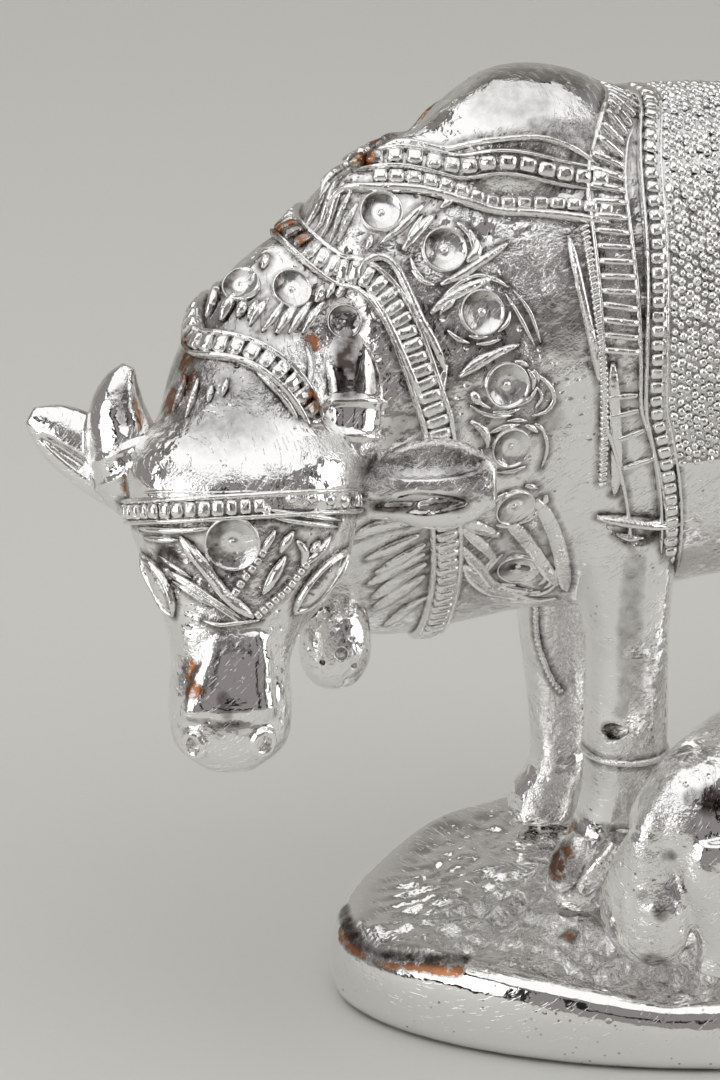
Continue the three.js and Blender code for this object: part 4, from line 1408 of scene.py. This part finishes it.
# Calf
# The calf is a casting of its own. It stands under the cow's near side, rump to the viewer, with a heavy tuft
# on its tail.


def calf_leg(x, y, thigh, top_z, hock_back=0.0):
    return drawn_out(
        "calf leg",
        [
            (x + 0.6, y, stand, 2.7, 3.2),
            (x + 0.4, y, stand + 3, 2.6, 2.8),
            (x - hock_back, y, stand + 8, 2.9, 3.2),
            (x - hock_back * 0.3, y, stand + 12.5, thigh * 0.8, thigh),
            (x, y, top_z, thigh * 0.7, thigh * 0.9),
        ],
        top=(1, 0, 0),
        along=(0, 0, 1),
        sides=24,
    )


calf_body = drawn_out(
    "calf body",
    [
        (-5.6, 0, 26.4, 2.2, 2),
        (-4.4, 0, 26.8, 4.6, 4.6),
        (-2.2, 0, 27.4, 6, 6.6),
        (2.2, 0, 28.2, 7.2, 8.4, 7.6),
        (10, 0, 29.2, 8.2, 9.2, 8),
        (18, 0, 30.4, 7.6, 9, 8),
        (26, 0, 32.4, 6.6, 8, 7.6),
        (30, 0, 34, 3.6, 5, 5),
    ],
)
calf_neck_stations = [(22, 0, 34, 6, 6.2), (29, 0, 37.2, 5), (35, 0, 39.6, 4.2), (39, 0, 40.6, 2.6)]
calf_head_stations = [
    (35, 0, 42, 2),
    (37.5, 0, 41.4, 4.1, 3.9),
    (41.5, 0, 40.6, 4, 3.9),
    (45.5, 0, 39.8, 2.8),
    (48, 0, 39.4, 2.7, 2.3),
    (49.3, 0, 39.2, 1.3, 1.1),
]
calf_neck = drawn_out("calf neck", calf_neck_stations, sides=24)
calf_head = drawn_out("calf head", calf_head_stations, sides=24)
calf_ears = []
for side in (-1, 1):
    stations = [
        (37.5, side * 3, 42.6, 0.9, 1.2),
        (36.2, side * 5.6, 42.8, 0.9, 2),
        (35.2, side * 8, 42.2, 0.5, 0.9),
    ]
    calf_ears.append(drawn_out("calf ear", stations, sides=16))
calf_tail = drawn_out(
    "calf tail",
    [
        (-0.4, 0, 34.6, 1.6),
        (-3.2, 0.2, 32.4, 1.9),
        (-5.2, 0.8, 28.6, 2.4),
        (-5.6, 1.6, 24.6, 3.8, 2.6),
        (-5.1, 1.8, 20.4, 5.7, 3.6),
        (-4.9, 1.8, 16.2, 5.4, 3.6),
        (-4.6, 2, 13.4, 3.4, 2.4),
        (-4.6, 2, 12.3, 1.2, 0.9),
    ],
    top=(-1, 0, 0),
    sides=24,
)
calf = fuse(
    "calf_body",
    [
        calf_body,
        calf_neck,
        calf_head,
        *calf_ears,
        calf_tail,
        calf_leg(0.2, -4.6, 5.4, 29, 1.2),
        calf_leg(2.4, 3.8, 4, 29, 2),
        calf_leg(24, -4, 4, 32),
        calf_leg(24, 4, 4, 32),
    ],
    0.36 * coarser,
    5,
)
calf_place = Matrix.Translation((-23.4, -23.4, 0)) @ Matrix.Rotation(math.radians(30), 4, "Z")

# Plinth
# The plinth is a thick oval slab, cast by itself. Its rounded, wavy rim is polished, and inside the rim the
# top is uneven, rippled and rough.

half_length = 57
half_depth = 34.5
squareness = 1.75
middle_radius = 42
edge_profile = ((0, 1.6), (1.4, 0.4), (4.5, 0), (8.2, 0.6), (9.8, 1.6), (10.6, 3.2), (10.9, 7), (11.5, 13))
plinth = drawn_out(
    "plinth",
    [(0, 0, z, half_length - inset, half_depth - inset) for z, inset in edge_profile],
    top=(0, 1, 0),
    along=(0, 0, 1),
    sides=96,
    square=squareness,
)
plinth = fuse("plinth_slab", [plinth], skin_mesh, 2)
plinth_top = coordinates(plinth)
x, y, z = plinth_top.T
round_it = np.arctan2(y / half_depth, x / half_length)
out_along = (np.abs(x) / half_length) ** squareness
out_across = (np.abs(y) / half_depth) ** squareness
inside = (1 - (out_along + out_across) ** (1 / squareness)) * middle_radius


def waves(wavelength, height):
    """Irregular waves, all of about one length, running in all directions."""
    count = 9
    total = np.zeros(len(x))
    for _ in range(count):
        way = dice.uniform(0, math.tau)
        length = wavelength * dice.uniform(0.7, 1.4)
        along = x * math.cos(way) + y * math.sin(way)
        total += np.sin(along * math.tau / length + dice.uniform(0, math.tau))
    return total * height / math.sqrt(count)


def hill(middle_x, middle_y, reach):
    return np.exp(-((x - middle_x) ** 2 + (y - middle_y) ** 2) / reach**2)


# The polished rim rises and dips along the front; inside it the rough top lies a little lower.
rim_x = (-57, -53, -49, -44, -37, -31, -26.5, -18, -8, 5, 20, 40, 57)
rim_height = (8.8, 9.8, 10.8, 10.6, 9.8, 9, 8.6, 8.9, 9.7, 9.2, 10.3, 9.5, 10)
front = np.clip(-y / 6, 0, 1)
rim = np.interp(x, rim_x, rim_height) * front + 10.3 * (1 - front)
near_rim = np.clip((14 - inside) / 8, 0, 1)
still_below = 5
rounded_to = 10.6
stretched = (rim - still_below) / (rounded_to - still_below) - 1
z = np.where(z > still_below, z + (z - still_below) * stretched * near_rim, z)
border = 3.1 + 0.8 * np.sin(round_it * 7 + 1) + 0.5 * np.sin(round_it * 19)
soft = np.clip((y + 3) / 6, 0, 1)
sunk = np.clip((inside - border) / (0.6 + 3.5 * soft), 0, 1) * (z > 7)
heaped = 1 + 2.2 * (hill(-42, -6.5, 5) + hill(-35, -2, 4) + hill(-31, -17, 5) + hill(-22, -29, 6))
rippled = hill(-46, 3, 8) * np.sin(y * math.tau / 2.1 + 0.8 * np.sin(x * 0.7)) * 0.35
z = z + sunk * (waves(12, 0.45) + (waves(4, 0.16) + waves(1.7, 0.1)) * heaped + rippled - 0.6)
z = z + 1.3 * hill(-38, 23, 9) * (z > still_below)
plinth_top[:, 2] = z
place_vertices(plinth, plinth_top)
# Painted shade: a dark line along the bottom edge where the slab meets the table, and along the front of the
# step inside the rim.
step = np.exp(-(((inside - border) / 0.5) ** 2)) * (z > 7)
mark(plinth, "polished", 0.85 * (1 - sunk))
rough_places = hill(-35, -3.8, 4.5) + hill(-42, -6.5, 5) + hill(-31, -17, 6) + hill(-24, -28, 6)
mark(plinth, "gritty", sunk * np.clip(0.1 + 0.8 * rough_places, 0, 0.8))
mark(plinth, "painted_shade", np.maximum(np.clip((0.7 - z) / 0.4, 0, 1), 0.55 * step * (1 - soft)))

# Wear and painted shade
# The plating is polished where hands rub it, rough as cast in places and bare copper at the most exposed
# edges. Painted shade darkens the hollows and the corners round the ornament, parts of the neck, hump and
# near foreleg, the creases of the calf, and the horns, where it stands for dark reflections. Each kind of
# mark is painted on round places: a middle, a reach and a strength.


def paint_shade_near(piece, others, reach, depth):
    """Paint shade on a skin in the corners where other work stands on it."""
    tree = KDTree(sum(len(other.data.vertices) for other in others))
    for i, point in enumerate(vertex.co for other in others for vertex in other.data.vertices):
        tree.insert(point, i)
    tree.balance()
    far = np.array([tree.find(vertex.co)[2] for vertex in piece.data.vertices])
    mark(piece, "painted_shade", np.clip(1 - far / reach, 0, 1) * depth)


def spread(piece, name, places):
    """Mark round places on a piece, where what is already marked more strongly stays."""
    points = coordinates(piece)
    values = np.zeros(len(points))
    for middle, reach, amount in places:
        away = np.linalg.norm(points - np.array(middle), axis=1)
        values = np.maximum(values, np.clip(1.8 * (1 - away / reach), 0, 1) * amount)
    layer = piece.data.attributes.get(name)
    if layer:
        before = np.empty(len(points), dtype=np.float32)
        layer.data.foreach_get("value", before)
        values = np.maximum(values, before)
    mark(piece, name, values)


def strung(corners, reach, amount):
    """Round places strung closely along a line through corners."""
    count = 8 * (len(corners) - 1) + 1
    return [(spot, reach, amount) for spot in between(corners, np.linspace(0, len(corners) - 1, count))]


def seen_from(place, places):
    """Round places given outside a piece's own frame, moved into it."""
    return [(place.inverted() @ Vector(middle), reach, amount) for middle, reach, amount in places]


face = join("face_work", face_work)
bands = join("bands_and_straps", ornament)
mane = join("mane_and_folds", mane)
paint_shade_near(cow, [bands, mane, cups], 1.1, 0.95)
paint_shade_near(head, [face, brow_cup], 1.0, 1.0)

cow_polished = [
    ((-36, -4, 107), 9, 0.9),
    ((-34, -12, 60), 11, 0.6),
    ((-28, -13, 50), 8, 0.85),
    ((-28, -13, 40), 7, 0.85),
    ((-28, -13, 25), 6, 0.8),
    ((-72, -18, 75), 9, 0.6),
]
cow_gritty = [
    ((-35.3, -8.2, 104.2), 3.5, 0.8),
    ((-31, -8.7, 103.2), 4.5, 1.0),
    ((-26, -15.7, 54.2), 3, 0.5),
    ((-25.9, -15.2, 47), 3, 0.6),
    ((-25.6, -15.1, 40), 3, 0.5),
    ((-30.2, -10.5, 17.5), 3.4, 1.0),
    ((-31.6, -12.6, 18), 3.6, 1.0),
    ((-25.5, -15, 27), 3.5, 0.5),
    ((-28, -15, 31.5), 3.5, 0.45),
    ((-27.5, -15, 51), 4, 0.4),
    ((-25, -15.4, 61), 4, 0.45),
    ((-24.5, 8, 36), 7, 0.7),
    ((-26, 8, 26), 6, 0.6),
    ((-36, -14.5, 90), 6, 0.3),
    ((-34, -15, 68), 6, 0.3),
    ((-76, -8, 81), 5, 0.4),
    ((-71, -15, 79), 8, 0.3),
    ((-62, -15, 82), 5, 0.4),
    ((-53, -10, 52), 8, 0.35),
]
# Painted shade on the cow: in the pit and the elbow hollow of the near foreleg, on the neck and the near side
# of the shoulder, on the hump where it dims the reflection, and down a strip of the near foreleg.
cow_painted_shade = [
    ((-27.4, -14, 34.2), 1.7, 0.9),
    ((-26.5, -15, 58.5), 2, 0.85),
    ((-23.5, -15.6, 58.2), 2.2, 0.85),
    ((-72, -14, 78), 11, 0.59),
    ((-69, -9, 83), 9, 0.56),
    ((-75, -6, 80), 5, 0.62),
    ((-61, -12, 80), 5, 0.65),
    ((-42, -15.5, 84), 5, 0.5),
    ((-34, -14.5, 84), 6, 0.5),
    ((-37, -16, 74), 4, 0.5),
    ((-52, -17, 74), 5, 0.5),
    ((-36, -4, 107.5), 9, 0.46),
    ((-31, -3, 106), 6, 0.46),
    *strung([(-35, -8.4, 104.4), (-32, -8.9, 103.7), (-28.6, -8.4, 103)], 2.4, 0.66),
    *strung([(-25.6, -15.2, 55), (-25.8, -15.2, 47), (-25.4, -15, 38)], 2.4, 0.52),
    *strung([(-28.6, -15, 36.5), (-26.6, -15.3, 36.8)], 1.6, 0.5),
]
cow_rubbed = [
    ((-33, -13.6, 19.4), 3, 0.555),
    ((-33.6, -13.4, 17.4), 2.6, 0.54),
    ((-30.2, -10.6, 18.2), 3.9, 0.55),
    ((-30, -9.8, 20.2), 2.8, 0.52),
    ((-62.1, -3.0, 93.9), 3.1, 0.54),
    ((-61.0, -5.5, 93.6), 2.6, 0.52),
    ((-63.4, -1, 93.2), 3.9, 0.55),
    ((-74.8, -7.8, 83.5), 2.6, 0.54),
    ((-74.9, -8.9, 82.2), 2.8, 0.57),
    ((-75.4, -11.5, 80.9), 2.3, 0.54),
    ((-77.2, -10.5, 78.4), 3.5, 0.57),
    ((-62.1, -12.6, 84.1), 2.1, 0.54),
    ((-63.8, -17.4, 79), 2.8, 0.55),
    ((-52.6, -2.0, 100.6), 3.1, 0.54),
    ((-49.2, 1.4, 101.3), 3.1, 0.54),
    ((-43.1, 5.9, 102.5), 3.5, 0.52),
    ((-83.2, -13.1, 70.2), 2.1, 0.54),
]

head_polished = [
    ((0, -8, -3), 9, 0.5),
    ((-1, -8, -27), 6.5, 0.95),
    ((0, -9, -33), 6, 0.7),
    ((12, 1, 4), 9, 1),
    ((-13, 1, 1), 7, 0.9),
    ((20, 1, -10), 7, 0.9),
    ((-18, 2, -2), 8, 0.7),
]
head_gritty = [
    ((15, -0.5, -4.4), 4, 1.0),
    ((21, -0.5, -4.0), 5, 1.0),
    ((-8, -6, -14), 4, 0.5),
    ((3, -6, -20), 4, 0.4),
    ((2, -7, -2), 9, 0.3),
]
# Painted shade in a border round the nose plate.
nose_border = [
    *strung([(-3, -8.6, -21.9), (0, -8.9, -22.2), (2.5, -8.6, -22)], 0.9, 0.75),
    *strung([(2.9, -8.2, -22.5), (3, -8.1, -26), (3, -8, -31)], 0.9, 0.85),
    *strung([(-6, -7.2, -31), (-3.5, -8, -31.7), (0, -8.2, -31.9), (2.6, -8, -31.6)], 0.7, 0.62),
    *strung([(-2.4, -8.6, -29), (-2, -8.6, -31)], 1.2, 0.6),
]
# Painted shade on the head: on the brow and forehead, in the hollow and slit of the right ear and round the
# nose plate; on the horns it stands for dark reflections.
head_painted_shade = [
    ((-7.5, -7, -14), 3.2, 0.9),
    ((0, -5, 0), 10, 0.57),
    ((0, -9, -4), 8, 0.54),
    *strung([(13.6, -0.4, -4.8), (17, -0.6, -4.4), (21, -0.6, -4.2), (24.6, -0.2, -5)], 2.8, 0.78),
    *strung([(14, -0.2, -9.3), (18.6, -0.4, -9.2), (23.4, -0.4, -9)], 1.6, 0.8),
    *strung([(11.6, -2.2, 4), (11.8, -1.6, 7), (11.6, -0.6, 9.4)], 2.8, 0.86),
    *strung([(13.8, -0.5, 3), (14.2, 0.4, 6)], 1.4, 0.8),
    *strung([(-12.6, -2.2, 1), (-12.6, -1.6, 4)], 1.3, 0.7),
    *nose_border,
]
head_rubbed = [
    ((-79.8, -25.4, 53.3), 2.2, 0.56),
    ((-80.1, -27.0, 51.7), 2, 0.56),
    ((-83.2, -13.1, 70.2), 2.2, 0.54),
]

calf_polished = [((0, -5, 27), 9, 0.85), ((6, -7, 28), 9, 0.85), ((2, -6, 18), 6, 0.7)]
calf_gritty = [
    ((-29.4, -28, 15), 5, 0.7),
    ((-26.3, -28.8, 26.6), 3, 0.5),
    ((-27, -27.5, 31), 4, 0.6),
    ((-24, -27, 13), 3, 0.6),
]
# Painted shade on the calf, in the creases beside its tail's tuft and round its haunch.
calf_painted_shade = [
    ((-22.6, -27.8, 32.8), 2.6, 0.9),
    ((-20.6, -28.4, 33), 2.4, 0.85),
    ((-24.6, -27.6, 33.6), 1.8, 0.7),
    ((-27.6, -28.6, 27), 1.4, 0.75),
    ((-28.4, -28.8, 20.6), 1.6, 0.7),
    ((-28.9, -28, 14), 2.4, 0.75),
    ((-30.6, -28, 22.4), 1.4, 0.6),
]

rim_line = [
    (-54.7, 4.9, 9.5),
    (-55.4, 1, 9.6),
    (-55.4, -2.3, 9.2),
    (-54.8, -5.5, 9.2),
    (-53.2, -8.1, 9.4),
    (-51.2, -10.4, 10),
    (-48.7, -12.6, 10.4),
    (-46.4, -13.9, 10.4),
]
just_outside = [(px * 1.012, py * 1.03 - 0.3, pz - 0.9) for px, py, pz in rim_line[1:]]
plinth_rubbed = [
    *strung(just_outside, 1.5, 0.58),
    ((-33.0, -12.4, 11), 2, 0.56),
    ((-29.9, -25.0, 9.6), 1.8, 0.56),
]

for piece, wear_and_shade, places in (
    (cow, "polished", cow_polished),
    (cow, "gritty", cow_gritty),
    (cow, "painted_shade", cow_painted_shade),
    (cow, "rubbed", cow_rubbed),
    (bands, "rubbed", cow_rubbed),
    (mane, "gritty", cow_gritty),
    # Painted shade beside the rough lump on the near hoof.
    (mane, "painted_shade", [((-32.2, -13, 18), 3.5, 0.7)]),
    (mane, "rubbed", cow_rubbed),
    (head, "polished", head_polished),
    (head, "gritty", head_gritty),
    (head, "painted_shade", head_painted_shade),
    (head, "rubbed", seen_from(head_place, head_rubbed)),
    (calf, "polished", calf_polished),
    (calf, "gritty", seen_from(calf_place, calf_gritty)),
    (calf, "painted_shade", seen_from(calf_place, calf_painted_shade)),
    (plinth, "rubbed", plinth_rubbed),
    # Painted shade along the rim round the plinth's left end.
    (plinth, "painted_shade", strung(rim_line, 1.4, 0.9)),
    (plinth, "gritty", strung(rim_line, 2, 1.0)),
):
    spread(piece, wear_and_shade, places)

# Into the frame
# The three castings stand together: the cow over the middle of the plinth and the calf at her near side. Each
# piece is moved from its own millimetres into the figure's place, in metres.

cow_shift = Matrix.Translation((0, 4.5, 0))
placed_pieces = (
    (cow, cow_shift, plated_cow, "cow"),
    (head, cow_shift @ head_place, plated_cow, "cow"),
    (face, cow_shift @ head_place, plated_ornament, "cow"),
    (brow_cup, cow_shift @ head_place, plated_dish, "cow"),
    (bands, cow_shift, plated_ornament, "cow"),
    (mane, cow_shift, plated_cow, "cow"),
    (cups, cow_shift, plated_dish, "cow"),
    (cloth, cow_shift, plated_ornament, "cow"),
    (cloth_grains, cow_shift, plated_ornament, "cow"),
    (bell, cow_shift, plated_cow, "cow"),
    (calf, calf_place, plated_cow, "calf"),
    (plinth, Matrix.Identity(4), plated_plinth, "plinth"),
)
for piece, where, look, node in placed_pieces:
    piece.data.transform(Matrix.Scale(0.001, 4) @ where)
    only(piece)
    bpy.ops.object.mode_set(mode="EDIT")
    bpy.ops.mesh.select_all(action="SELECT")
    bpy.ops.mesh.normals_make_consistent(inside=False)
    bpy.ops.object.mode_set(mode="OBJECT")
    bpy.ops.object.shade_smooth()
    piece.data.materials.clear()
    piece.data.materials.append(look)
    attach(piece, "root")
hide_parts("plinth")
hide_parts("cow")
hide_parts("calf")
for shape in (block, grain_shape, dish):
    bpy.data.objects.remove(shape)
